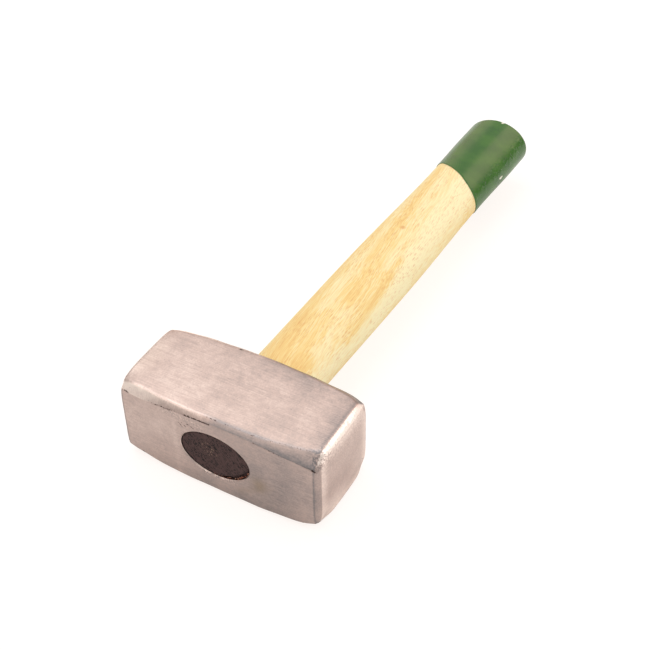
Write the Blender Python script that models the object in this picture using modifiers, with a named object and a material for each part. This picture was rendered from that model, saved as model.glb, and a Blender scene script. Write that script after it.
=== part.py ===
"""A lump hammer: a forged steel head on a wedged hardwood handle with a dipped end.

Lengths are in metres and +Z is up. The hammer lies on the lower cheek of its head, and the middle of that
cheek is the origin. +X runs along the head. +Y runs along the handle, away from the eye face. The handle
leans a little to +X, so everything in the eye is built in the handle's own frame, whose origin is the middle
of the eye.
"""

import math

import bmesh
import bpy

# Head: a bar of square section. Its depth, along the handle, is largest round the eye.
HEAD_LENGTH = 0.101
HEAD_HEIGHT = 0.0440
HEAD_DEPTH = 0.0460
HEAD_END_DEPTH = 0.0435
EYE_BAND = 0.036  # the middle length of the head, where the depth stays the same
TAPER_POWER = 1.8
CHAMFER_MIDDLE = 0.0019  # leg of the chamfer on the four long edges
CHAMFER_END = 0.0049
CHAMFER_POWER = 2.0
RIM_INSET = 0.0025  # chamfer round a striking face, measured on the face
RIM_SETBACK = 0.0018  # the same chamfer, measured along the head
CROWN = 0.0005  # how far the middle of a striking face stands in front of its rim
CROWN_MARGIN = 0.009  # from the rim to that flat middle
FLAT_CORNER = 0.5  # how much of that margin the flat middle's corners are cut by as well
EDGE_ROUND = 0.0006
EDGE_ROUND_STEPS = 2

# Eye: an oval hole, narrowest at the middle of the head's depth.
EYE_WIDTH = 0.0346  # at the eye face
EYE_HEIGHT = 0.0244
EYE_WAIST_INSET = 0.0005  # how much smaller the waist is, on each side
EYE_BACK_FLARE = 0.0004  # how much larger the handle's side is, on each side
EYE_RISE = 0.0008  # above the middle of the head's height
EYE_SHIFT = 0.0005  # to +X of the middle of the head's length

# Handle: oval all along. It swells to a belly, narrows to a waist and flares to its end.
HANDLE_REACH = 0.2560  # from the middle of the eye to the end
HANDLE_LEAN = math.radians(1.8)
BELLY_WIDTH = 0.0347
BELLY_HEIGHT = 0.0269
BELLY_TO_WAIST = 0.082
WAIST_WIDTH = 0.0317
WAIST_HEIGHT = 0.0250
WAIST_TO_FLARE = 0.041
END_WIDTH = 0.0340
END_HEIGHT = 0.0266
END_LENGTH = 0.015  # the last of the handle, where its size stays the same
END_ROUND = 0.0026

# Dip coat: enamel over the handle's end. Its edge is slanted, because the handle hung askew in the bath.
DIP_LENGTH = 0.0563  # from the edge to the handle's end, on the handle's axis
DIP_SLANT = math.radians(29.4)  # seen from above: the -X side starts farther along
DIP_TILT = math.radians(6.5)  # seen from the side: the underside starts farther along
DIP_THICKNESS = 0.00035
DIP_GAP = 0.00015

# Seal: the dark coat over the end grain, sunk in the eye.
SEAL_RECESS = 0.0013
SEAL_THICKNESS = 0.0008
SEAL_EDGE = 0.0004  # the rounding of its front edge

# Wedges: wood along the eye's long side, steel across it.
KERF_RUN_ON = 0.0020  # how far the saw cut runs on past the wood wedge
WOOD_WEDGE_LENGTH = 0.030
WOOD_WEDGE_WIDTH = 0.029
WOOD_WEDGE_MOUTH = 0.0042
WOOD_WEDGE_TIP = 0.0014
STEEL_WEDGE_LENGTH = 0.019
STEEL_WEDGE_WIDTH = 0.015
STEEL_WEDGE_MOUTH = 0.0030
STEEL_WEDGE_TIP = 0.0008
STEEL_WEDGE_TURN = math.radians(55.0)  # from the wood wedge's plane

FIT_GAP = 0.0003  # between pieces that touch
OVERCUT = 0.004  # how far a cutter stands out of what it cuts
OVAL_SIDES = 32
TAPER_STEPS = 5  # sections from the eye band to a striking face
HANDLE_STEP = 0.009  # longest distance between two sections of the handle
ROUND_STEPS = 4
SHARP_ANGLE = math.radians(28.0)

HALF_DEPTH = HEAD_DEPTH / 2
MID_HEIGHT = HEAD_HEIGHT / 2
TENON_FRONT = -HALF_DEPTH + SEAL_RECESS + SEAL_THICKNESS + FIT_GAP
DIP_LINE = HANDLE_REACH - DIP_LENGTH


def clear_scene():
    """Remove every object that the file opened with."""
    for item in list(bpy.data.objects):
        bpy.data.objects.remove(item)


def new_collection(name):
    """Add a collection to the scene."""
    group = bpy.data.collections.new(name)
    bpy.context.scene.collection.children.link(group)
    return group


def new_material(name, colour, roughness, metallic):
    """Make a Principled material of one linear colour."""
    material = bpy.data.materials.new(name)
    material.use_nodes = True
    shader = material.node_tree.nodes["Principled BSDF"]
    shader.inputs["Base Color"].default_value = (*colour, 1.0)
    shader.inputs["Roughness"].default_value = roughness
    shader.inputs["Metallic"].default_value = metallic
    return material


def add_object(name, shape, group, parent=None, material=None):
    """Turn a bmesh into an object, smooth except at sharp edges."""
    bmesh.ops.recalc_face_normals(shape, faces=shape.faces)
    mesh = bpy.data.meshes.new(name)
    shape.to_mesh(mesh)
    shape.free()
    mesh.shade_smooth()
    mesh.set_sharp_from_angle(angle=SHARP_ANGLE)
    item = bpy.data.objects.new(name, mesh)
    item.parent = parent
    if material:
        mesh.materials.append(material)
    group.objects.link(item)
    return item


def add_cutter(name, shape, group, parent=None):
    """Add an object that only cuts others."""
    cutter = add_object(name, shape, group, parent)
    cutter.hide_render = True
    cutter.display_type = "WIRE"
    return cutter


def cut(item, cutter):
    """Take a cutter's space out of an object."""
    modifier = item.modifiers.new("cut_" + cutter.name, "BOOLEAN")
    modifier.operation = "DIFFERENCE"
    modifier.object = cutter


def loft(rings, open_start=False):
    """Skin rings of equally many points, and cap the ends."""
    shape = bmesh.new()
    loops = [[shape.verts.new(point) for point in ring] for ring in rings]
    for near, far in zip(loops, loops[1:]):
        for i, corner in enumerate(near):
            j = (i + 1) % len(near)
            shape.faces.new((corner, near[j], far[j], far[i]))
    if not open_start:
        shape.faces.new(loops[0])
    shape.faces.new(loops[-1])
    return shape


def oval(half_width, half_height, y):
    """Points of an oval section across the handle's axis."""
    turn = 2 * math.pi / OVAL_SIDES
    return [
        (half_width * math.cos(turn * i), y, half_height * math.sin(turn * i))
        for i in range(OVAL_SIDES)
    ]


def tapered_block(length, width, mouth, tip, turn=0.0):
    """A wedge along +Y from its mouth at the tenon's front. Its thickness falls from mouth to tip."""
    shape = bmesh.new()
    bmesh.ops.create_cube(shape, size=1.0)
    for corner in shape.verts:
        thickness = tip if corner.co.y > 0 else mouth
        x = corner.co.x * width
        z = corner.co.z * thickness
        corner.co.x = x * math.cos(turn) - z * math.sin(turn)
        corner.co.z = x * math.sin(turn) + z * math.cos(turn)
        corner.co.y = TENON_FRONT + (corner.co.y + 0.5) * length
    return shape


def wedge_space(length, width, mouth, tip, turn=0.0, run_on=FIT_GAP):
    """The space of a wedge with its clearance. It opens beyond the tenon's front and runs on past the tip."""
    slope = (mouth - tip) / length
    block = tapered_block(
        length + run_on + OVERCUT,
        width + 2 * FIT_GAP,
        mouth + slope * OVERCUT + 2 * FIT_GAP,
        tip - slope * run_on + 2 * FIT_GAP,
        turn,
    )
    bmesh.ops.translate(block, vec=(0, -OVERCUT, 0), verts=block.verts)
    return block


# Head


def head_section(x, half_depth, half_height, leg):
    """Points of a rectangle with cut corners, across the head."""
    corners = []
    for side, level in ((-1, -1), (1, -1), (1, 1), (-1, 1)):
        on_side = (x, side * half_depth, MID_HEIGHT + level * (half_height - leg))
        on_cheek = (x, side * (half_depth - leg), MID_HEIGHT + level * half_height)
        corners += [on_side, on_cheek] if side == level else [on_cheek, on_side]
    return corners


def inset_leg(leg, inset):
    """Leg of a chamfer after its whole outline moves in."""
    return leg - inset * (2 - math.sqrt(2))


def head_end_sections():
    """Sections of the +X half, from the eye band to the middle of the striking face."""
    shoulder = HEAD_LENGTH / 2 - CROWN - RIM_SETBACK
    sections = []
    for step in range(TAPER_STEPS + 1):
        share = step / TAPER_STEPS
        x = EYE_BAND / 2 + (shoulder - EYE_BAND / 2) * share
        depth = HEAD_DEPTH - (HEAD_DEPTH - HEAD_END_DEPTH) * share**TAPER_POWER
        growth = (x / shoulder) ** CHAMFER_POWER
        leg = CHAMFER_MIDDLE + (CHAMFER_END - CHAMFER_MIDDLE) * growth
        sections.append((x, depth / 2, HEAD_HEIGHT / 2, leg))
    for x, inset in (
        (HEAD_LENGTH / 2 - CROWN, RIM_INSET),
        (HEAD_LENGTH / 2, RIM_INSET + CROWN_MARGIN),
    ):
        leg = inset_leg(CHAMFER_END, RIM_INSET) + (inset - RIM_INSET) * FLAT_CORNER
        sections.append((x, HEAD_END_DEPTH / 2 - inset, HEAD_HEIGHT / 2 - inset, leg))
    return sections


def eye_half_sizes(y):
    """Half width and half height of the eye, y along its axis from its middle."""
    growth = EYE_WAIST_INSET if y < 0 else EYE_WAIST_INSET + EYE_BACK_FLARE
    change = growth * abs(y) / HALF_DEPTH - EYE_WAIST_INSET
    return EYE_WIDTH / 2 + change, EYE_HEIGHT / 2 + change


def make_head(group, cutters, axis, material):
    """The forged head with its eye."""
    half = head_end_sections()
    rings = [head_section(-x, *sizes) for x, *sizes in reversed(half)]
    middle = (0.0, HEAD_DEPTH / 2, HEAD_HEIGHT / 2, CHAMFER_MIDDLE)
    rings += [head_section(*middle)]
    rings += [head_section(x, *sizes) for x, *sizes in half]
    head = add_object("head", loft(rings), group, material=material)

    edges = head.modifiers.new("edges", "BEVEL")
    edges.width = EDGE_ROUND
    edges.segments = EDGE_ROUND_STEPS
    edges.limit_method = "ANGLE"
    edges.angle_limit = SHARP_ANGLE

    reach = HALF_DEPTH + OVERCUT
    ovals = [oval(*eye_half_sizes(y), y) for y in (-reach, 0.0, reach)]
    cut(head, add_cutter("eye_space", loft(ovals), cutters, axis))
    return head


# Handle


def eased(share):
    """A share from 0 to 1 with level ends."""
    return (1 - math.cos(math.pi * share)) / 2


def handle_half_sizes(y):
    """Half width and half height of the handle, y along its axis from the middle of the eye."""
    if y < HALF_DEPTH:
        width, height = eye_half_sizes(y)
        return width - FIT_GAP, height - FIT_GAP
    width, height = eye_half_sizes(HALF_DEPTH)
    flare_at = HANDLE_REACH - END_LENGTH
    waist_at = flare_at - WAIST_TO_FLARE
    belly_at = waist_at - BELLY_TO_WAIST
    stations = [
        (HALF_DEPTH, width - FIT_GAP, height - FIT_GAP),
        (belly_at, BELLY_WIDTH / 2, BELLY_HEIGHT / 2),
        (waist_at, WAIST_WIDTH / 2, WAIST_HEIGHT / 2),
        (flare_at, END_WIDTH / 2, END_HEIGHT / 2),
        (HANDLE_REACH, END_WIDTH / 2, END_HEIGHT / 2),
    ]
    for (start, *near), (end, *far) in zip(stations, stations[1:]):
        if y <= end:
            share = eased((y - start) / (end - start))
            return [a + (b - a) * share for a, b in zip(near, far)]
    return stations[-1][1:]


def spread(start, end):
    """Even distances from start to end, at most HANDLE_STEP apart."""
    count = max(1, math.ceil((end - start) / HANDLE_STEP))
    return [start + (end - start) * i / count for i in range(count + 1)]


def rounded_end(proud):
    """Sections of the handle's rounded end, for a surface that stands proud of the wood."""
    width, height = handle_half_sizes(HANDLE_REACH)
    rings = []
    for step in range(1, ROUND_STEPS + 1):
        angle = math.pi / 2 * step / ROUND_STEPS
        inset = END_ROUND * (1 - math.cos(angle)) - proud * math.cos(angle)
        y = HANDLE_REACH - END_ROUND + (END_ROUND + proud) * math.sin(angle)
        rings.append(oval(width - inset, height - inset, y))
    return rings


def make_handle(group, cutters, axis, material):
    """The handle, with the kerf and the slot that the wedges fill."""
    places = spread(TENON_FRONT, 0.0)[:-1]
    places += spread(0.0, HALF_DEPTH)[:-1]
    places += spread(HALF_DEPTH, HANDLE_REACH - END_ROUND)
    rings = [oval(*handle_half_sizes(y), y) for y in places]
    handle = add_object("handle", loft(rings + rounded_end(0.0)), group, axis, material)

    kerf = wedge_space(
        WOOD_WEDGE_LENGTH,
        EYE_WIDTH,
        WOOD_WEDGE_MOUTH,
        WOOD_WEDGE_TIP,
        run_on=KERF_RUN_ON,
    )
    cut(handle, add_cutter("kerf_space", kerf, cutters, axis))
    return handle


# Wedges, seal and coat


def make_wood_wedge(group, axis, material):
    """The wooden wedge in the kerf."""
    shape = tapered_block(
        WOOD_WEDGE_LENGTH, WOOD_WEDGE_WIDTH, WOOD_WEDGE_MOUTH, WOOD_WEDGE_TIP
    )
    return add_object("wood_wedge", shape, group, axis, material)


def make_steel_wedge(group, axis, material):
    """The steel wedge across the wooden one."""
    shape = tapered_block(
        STEEL_WEDGE_LENGTH,
        STEEL_WEDGE_WIDTH,
        STEEL_WEDGE_MOUTH,
        STEEL_WEDGE_TIP,
        STEEL_WEDGE_TURN,
    )
    return add_object("steel_wedge", shape, group, axis, material)


def make_steel_wedge_space(cutters, axis):
    """The slot that the steel wedge opens in the wood."""
    shape = wedge_space(
        STEEL_WEDGE_LENGTH,
        STEEL_WEDGE_WIDTH,
        STEEL_WEDGE_MOUTH,
        STEEL_WEDGE_TIP,
        STEEL_WEDGE_TURN,
    )
    return add_cutter("steel_wedge_space", shape, cutters, axis)


def make_eye_seal(group, axis, material):
    """The sealing coat over the tenon and the wedges."""
    front = -HALF_DEPTH + SEAL_RECESS
    back = front + SEAL_THICKNESS
    rings = []
    for y, inset in ((back, 0.0), (front + SEAL_EDGE, 0.0), (front, SEAL_EDGE)):
        width, height = eye_half_sizes(y)
        rings.append(oval(width - FIT_GAP - inset, height - FIT_GAP - inset, y))
    return add_object("eye_seal", loft(rings), group, axis, material)


def dip_edge(x, z):
    """Where the coat starts along the handle, at one place of its section."""
    return DIP_LINE - x * math.tan(DIP_SLANT) - z * math.tan(DIP_TILT)


def make_dip_coat(group, axis, material):
    """The enamel cup over the handle's end."""
    last = HANDLE_REACH - END_ROUND
    latest = dip_edge(-END_WIDTH / 2, -END_HEIGHT / 2)
    straight = spread(latest, last)
    slanted = oval(*handle_half_sizes(DIP_LINE), DIP_LINE)
    edge = [dip_edge(x, z) for x, _, z in slanted]
    steps = len(spread(min(edge), latest))
    rings = []
    for step in range(steps):
        share = step / steps
        ring = []
        for i, start in enumerate(edge):
            y = start + (latest - start) * share
            width, height = handle_half_sizes(y)
            ring.append(oval(width + DIP_GAP, height + DIP_GAP, y)[i])
        rings.append(ring)
    for y in straight:
        width, height = handle_half_sizes(y)
        rings.append(oval(width + DIP_GAP, height + DIP_GAP, y))
    rings += rounded_end(DIP_GAP)
    coat = add_object("dip_coat", loft(rings, open_start=True), group, axis, material)

    shell = coat.modifiers.new("shell", "SOLIDIFY")
    shell.thickness = DIP_THICKNESS
    shell.offset = 1.0
    shell.use_even_offset = True
    return coat


def main():
    """Build the hammer."""
    clear_scene()
    group = new_collection("lump_hammer")
    cutters = new_collection("cutters")

    axis = bpy.data.objects.new("handle_axis", None)
    axis.location = (EYE_SHIFT, 0.0, MID_HEIGHT + EYE_RISE)
    axis.rotation_euler = (0.0, 0.0, -HANDLE_LEAN)
    group.objects.link(axis)

    ground_steel = new_material("ground_steel", (0.42, 0.37, 0.35), 0.42, 0.85)
    pale_wood = new_material("pale_wood", (0.83, 0.62, 0.34), 0.55, 0.0)
    wedge_wood = new_material("wedge_wood", (0.55, 0.34, 0.16), 0.65, 0.0)
    wedge_steel = new_material("wedge_steel", (0.30, 0.30, 0.31), 0.40, 1.0)
    dark_seal = new_material("dark_seal", (0.045, 0.024, 0.021), 0.55, 0.0)
    green_enamel = new_material("green_enamel", (0.08, 0.20, 0.04), 0.30, 0.0)

    make_head(group, cutters, axis, ground_steel)
    handle = make_handle(group, cutters, axis, pale_wood)
    wood_wedge = make_wood_wedge(group, axis, wedge_wood)
    make_steel_wedge(group, axis, wedge_steel)
    slot = make_steel_wedge_space(cutters, axis)
    cut(handle, slot)
    cut(wood_wedge, slot)
    make_eye_seal(group, axis, dark_seal)
    make_dip_coat(group, axis, green_enamel)


main()
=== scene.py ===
"""The looks of a lump hammer: a ground forged head, a rubberwood handle and a dipped enamel end.

Lengths are in metres and +Z is up. +X runs along the head and +Y runs along the handle, away from the eye
face. The hammer lies on the lower cheek of its head. The handle leans a little to +X, so the handle, its
coat and the seal in the eye are built in the handle's own frame, whose origin is the middle of the eye.
"""

import logging
import math
import random
from collections.abc import Iterable, Sequence
from dataclasses import dataclass
from enum import Enum

import bmesh
import bpy
import numpy as np
from mathutils import Matrix, Vector, noise


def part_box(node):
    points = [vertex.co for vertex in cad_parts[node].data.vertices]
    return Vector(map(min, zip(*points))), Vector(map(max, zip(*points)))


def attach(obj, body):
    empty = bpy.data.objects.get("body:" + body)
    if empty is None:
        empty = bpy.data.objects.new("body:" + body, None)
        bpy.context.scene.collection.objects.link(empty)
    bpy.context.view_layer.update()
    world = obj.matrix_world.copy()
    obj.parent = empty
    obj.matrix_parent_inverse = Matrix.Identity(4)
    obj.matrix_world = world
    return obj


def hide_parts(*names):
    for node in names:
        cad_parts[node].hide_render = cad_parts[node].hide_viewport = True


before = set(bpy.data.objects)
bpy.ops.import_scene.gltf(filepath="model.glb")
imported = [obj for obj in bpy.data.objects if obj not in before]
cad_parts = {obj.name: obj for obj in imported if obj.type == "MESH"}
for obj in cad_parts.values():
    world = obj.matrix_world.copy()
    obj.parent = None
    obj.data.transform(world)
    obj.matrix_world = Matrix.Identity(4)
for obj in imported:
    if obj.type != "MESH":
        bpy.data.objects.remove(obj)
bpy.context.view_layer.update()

log = logging.getLogger("lump_hammer")

MM = 0.001
BODY = "root"
HEAD_LOW, HEAD_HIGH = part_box("head")


# Shared tools


def linear(colour: str) -> tuple[float, float, float, float]:
    """Turn an sRGB hex colour into a linear one.

    Args:
        colour: A hash sign and six hex digits.

    Returns:
        Linear red, green and blue, and an alpha of one.
    """
    channels = [int(colour[start : start + 2], 16) / 255 for start in (1, 3, 5)]
    red, green, blue = (c / 12.92 if c <= 0.04045 else ((c + 0.055) / 1.055) ** 2.4 for c in channels)
    return red, green, blue, 1.0


def add_node(
    tree: bpy.types.NodeTree,
    kind: str,
    inputs: dict | None = None,
    stops: Sequence[tuple[float, str]] = (),
    **settings: object,
) -> bpy.types.Node:
    """Add a shader node with its settings and its links.

    Args:
        tree: The tree that takes the node.
        kind: The node's type, without its ShaderNode prefix.
        inputs: A value, a socket or a node for each input, by name or by index.
        stops: Places and hex colours of a colour ramp.
        **settings: The node's own properties.

    Returns:
        The new node.
    """
    node = tree.nodes.new("ShaderNode" + kind)
    for name, value in settings.items():
        setattr(node, name, value)
    for key, value in (inputs or {}).items():
        socket = next(s for i, s in enumerate(node.inputs) if key == i or (s.enabled and s.name == key))
        if isinstance(value, bpy.types.Node):
            value = next(s for s in value.outputs if s.enabled)
        if isinstance(value, bpy.types.NodeSocket):
            tree.links.new(value, socket)
        else:
            socket.default_value = value
    for index, (place, colour) in enumerate(stops):
        elements = node.color_ramp.elements
        stop = elements[index] if index < len(elements) else elements.new(place)
        stop.position = place
        stop.color = linear(colour)
    return node


def cloudy(places: np.ndarray, length: float | Sequence[float], shift: float = 0.0) -> np.ndarray:
    """Give smooth noise from -1 to 1.

    Args:
        places: One place a row.
        length: How far apart the noise's humps lie, for all axes or for each.
        shift: Which of many such noises this is.

    Returns:
        One value for each place.
    """
    return np.array([noise.noise(Vector(row)) for row in places / np.array(length) + shift])


def wander(turn: float, length: float, shift: float) -> float:
    """Give smooth noise round a circle, with humps about the given angle apart."""
    return noise.noise(Vector((math.cos(turn) / length, math.sin(turn) / length, shift)))


def eased(values: np.ndarray, start: float, stop: float) -> np.ndarray:
    """Go smoothly from 0 at the start to 1 at the stop."""
    share = np.clip((values - start) / (stop - start), 0, 1)
    return share * share * (3 - 2 * share)


def fade(away: np.ndarray, width: float) -> np.ndarray:
    """Give 1 where the distance is zero, falling softly to nothing at about twice the width."""
    return np.exp(-((away / width) ** 2))


def soften(corner: Vector, before: Vector, after: Vector, reach: float, steps: int) -> list[Vector]:
    """Round one corner of an outline.

    Args:
        corner: The corner itself.
        before: The outline's previous corner.
        after: The outline's next corner.
        reach: How far from the corner the rounding starts.
        steps: How many pieces the rounding has.

    Returns:
        The points of the rounding, from its start to its end.
    """
    start = corner + (before - corner).normalized() * reach
    end = corner + (after - corner).normalized() * reach
    shares = [step / steps for step in range(steps + 1)]
    return [start.lerp(corner, share).lerp(corner.lerp(end, share), share) for share in shares]


def loft(rings: Sequence[Sequence[Sequence[float]]]) -> bmesh.types.BMesh:
    """Skin rings of equally many points, and close both ends with a fan.

    Args:
        rings: The rings, from one end to the other.

    Returns:
        The closed shape.
    """
    shape = bmesh.new()
    loops = [[shape.verts.new(point) for point in ring] for ring in rings]
    for near, far in zip(loops, loops[1:]):
        for i, corner in enumerate(near):
            j = (i + 1) % len(near)
            shape.faces.new((corner, near[j], far[j], far[i]))
    for loop in (loops[0], loops[-1]):
        middle = shape.verts.new(sum((corner.co for corner in loop), Vector()) / len(loop))
        for i, corner in enumerate(loop):
            shape.faces.new((corner, loop[(i + 1) % len(loop)], middle))
    bmesh.ops.recalc_face_normals(shape, faces=shape.faces)
    return shape


def corners_of(shape: bmesh.types.BMesh) -> np.ndarray:
    """Give the corners of a shape, one a row."""
    return np.array([corner.co for corner in shape.verts])


def push(shape: bmesh.types.BMesh, depths: np.ndarray) -> None:
    """Move the corners of a shape inwards along its normals.

    Args:
        shape: The shape that is changed.
        depths: How far each corner goes in.
    """
    shape.normal_update()
    moved = [corner.co - corner.normal * float(depth) for corner, depth in zip(shape.verts, depths)]
    for corner, place in zip(shape.verts, moved):
        corner.co = place


def add_piece(name: str, shape: bmesh.types.BMesh, matrix: Matrix | None = None) -> bpy.types.Object:
    """Turn a shape into an object of the scene.

    Args:
        name: The object's name.
        shape: The shape, which is used up.
        matrix: Where its own frame stands, if not in the shared one.

    Returns:
        The new object.
    """
    mesh = bpy.data.meshes.new(name)
    shape.to_mesh(mesh)
    shape.free()
    mesh.shade_smooth()
    piece = bpy.data.objects.new(name, mesh)
    if matrix:
        piece.matrix_world = matrix
    bpy.context.scene.collection.objects.link(piece)
    return piece


def straighten(piece: bpy.types.Object) -> bpy.types.Object:
    """Move a piece's mesh into the shared frame, so that its box fits it closely.

    Args:
        piece: The piece, which keeps its place.

    Returns:
        The same piece.
    """
    piece.data.transform(piece.matrix_world)
    piece.matrix_world = Matrix()
    return piece


def carve(piece: bpy.types.Object, cutter: bpy.types.Object, sharp: float) -> None:
    """Take a cutter's space out of a piece, and remove the cutter.

    Args:
        piece: The piece that is cut.
        cutter: The object that cuts it.
        sharp: The least angle, in radians, of an edge that stays crisp.
    """
    modifier = piece.modifiers.new("cut", "BOOLEAN")
    modifier.operation = "DIFFERENCE"
    modifier.object = cutter
    graph = bpy.context.evaluated_depsgraph_get()
    mesh = bpy.data.meshes.new_from_object(piece.evaluated_get(graph))
    piece.modifiers.clear()
    piece.data = mesh
    mesh.set_sharp_from_angle(angle=sharp)
    bpy.data.objects.remove(cutter)


def places_of(piece: bpy.types.Object) -> np.ndarray:
    """Read the points of a piece's mesh.

    Args:
        piece: The piece.

    Returns:
        The points in its own frame, one a row.
    """
    places = np.empty(len(piece.data.vertices) * 3)
    piece.data.vertices.foreach_get("co", places)
    return places.reshape(-1, 3)


def paint(piece: bpy.types.Object, name: str, values: np.ndarray) -> None:
    """Store a value at each point of a mesh, for its material to read."""
    layer = piece.data.attributes.new(name, "FLOAT", "POINT")
    layer.data.foreach_set("value", values.astype(np.float32))


class Slot(Enum):
    """The record's material slots, whose names the scene's own pieces give in the log."""

    STEEL = "ground_steel"
    WOOD = "pale_wood"
    SEAL = "dark_seal"
    ENAMEL = "green_enamel"


def settle(piece: bpy.types.Object, slot: Slot, *nodes: str) -> None:
    """Make a finished piece part of the hammer.

    Args:
        piece: The piece, in its place.
        slot: The material slot that its finish belongs to, which is only logged.
        *nodes: The plain nodes that it stands for.
    """
    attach(piece, BODY)
    if nodes:
        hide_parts(*nodes)
    log.info("%s: %d faces, %s", piece.name, len(piece.data.polygons), slot.value)


@dataclass(frozen=True)
class Patch:
    """A soft spot on a surface, such as a stain, a duller patch or a dent."""

    place: tuple[float, float, float]  # in millimetres
    reach: tuple[float, float, float]  # in millimetres
    strength: float

    def at(self, places: np.ndarray) -> np.ndarray:
        """Give the patch's strength at each of the places, which are in metres."""
        away = (places / MM - np.array(self.place)) / np.array(self.reach)
        return self.strength * np.exp(-(away**2).sum(axis=1))


@dataclass(frozen=True)
class Streak:
    """A soft band on a surface, along a line between two places."""

    start: tuple[float, float, float]  # in millimetres
    stop: tuple[float, float, float]  # in millimetres
    width: float  # in millimetres
    strength: float

    def at(self, places: np.ndarray) -> np.ndarray:
        """Give the streak's strength.

        Args:
            places: The places, in metres, one a row.

        Returns:
            The strength at each place.
        """
        start = np.array(self.start)
        run = np.array(self.stop) - start
        offset = places / MM - start
        share = np.clip(offset @ run / (run @ run), 0, 1)
        away = np.linalg.norm(offset - share[:, None] * run, axis=1)
        return self.strength * fade(away, self.width)


def total(marks: Iterable[Patch | Streak], places: np.ndarray) -> np.ndarray:
    """Add up all marks at each of the places, which are in metres."""
    return sum((mark.at(places) for mark in marks), np.zeros(len(places)))


# Finishes


@dataclass(frozen=True)
class Finish:
    """A surface finish, which becomes a material."""

    name: str = ""
    roughness: float = 0.5
    metallic: float = 0.0
    ior: float = 1.5
    specular: float = 0.5

    def material(self) -> bpy.types.Material:
        """Make the material of this finish.

        Returns:
            The new material.
        """
        made = bpy.data.materials.new(self.name)
        made.use_nodes = True
        shader = made.node_tree.nodes["Principled BSDF"]
        shader.inputs["Roughness"].default_value = self.roughness
        shader.inputs["Metallic"].default_value = self.metallic
        shader.inputs["IOR"].default_value = self.ior
        shader.inputs["Specular IOR Level"].default_value = self.specular
        self.draw(made.node_tree, shader)
        return made

    def draw(self, tree: bpy.types.NodeTree, shader: bpy.types.Node) -> None:
        """Add the finish's own pattern.

        Args:
            tree: The material's nodes.
            shader: Its Principled shader.
        """
        raise NotImplementedError


def stretched(tree: bpy.types.NodeTree, place: object, sizes: Sequence[float]) -> bpy.types.Node:
    """Scale a place so that a pattern's cells get the given sizes along X, Y and Z.

    Args:
        tree: The material's nodes.
        place: The place's node or socket.
        sizes: The cells' sizes, in metres.

    Returns:
        The node that gives the scaled place.
    """
    return add_node(tree, "VectorMath", {0: place, 1: [1 / size for size in sizes]}, operation="MULTIPLY")


def rough_noise(
    tree: bpy.types.NodeTree, place: object, sizes: Sequence[float], detail: float
) -> bpy.types.Node:
    """Add noise with cells of the given sizes.

    Args:
        tree: The material's nodes.
        place: The place's node or socket.
        sizes: The cells' sizes along X, Y and Z, in metres.
        detail: How many finer layers the noise has.

    Returns:
        The noise, whose first output is its value.
    """
    scaled = stretched(tree, place, sizes)
    return add_node(tree, "TexNoise", {"Vector": scaled, "Scale": 1.0, "Detail": detail})


def blend(tree: bpy.types.NodeTree, share: object, under: object, over: str) -> bpy.types.NodeSocket:
    """Lay a colour over another.

    Args:
        tree: The material's nodes.
        share: How much of the upper colour shows.
        under: The lower colour's node or socket.
        over: The upper colour, as hex.

    Returns:
        The mixed colour.
    """
    node = add_node(tree, "Mix", {"Factor": share, "A": under, "B": linear(over)}, data_type="RGBA")
    return node.outputs["Result"]


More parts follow.
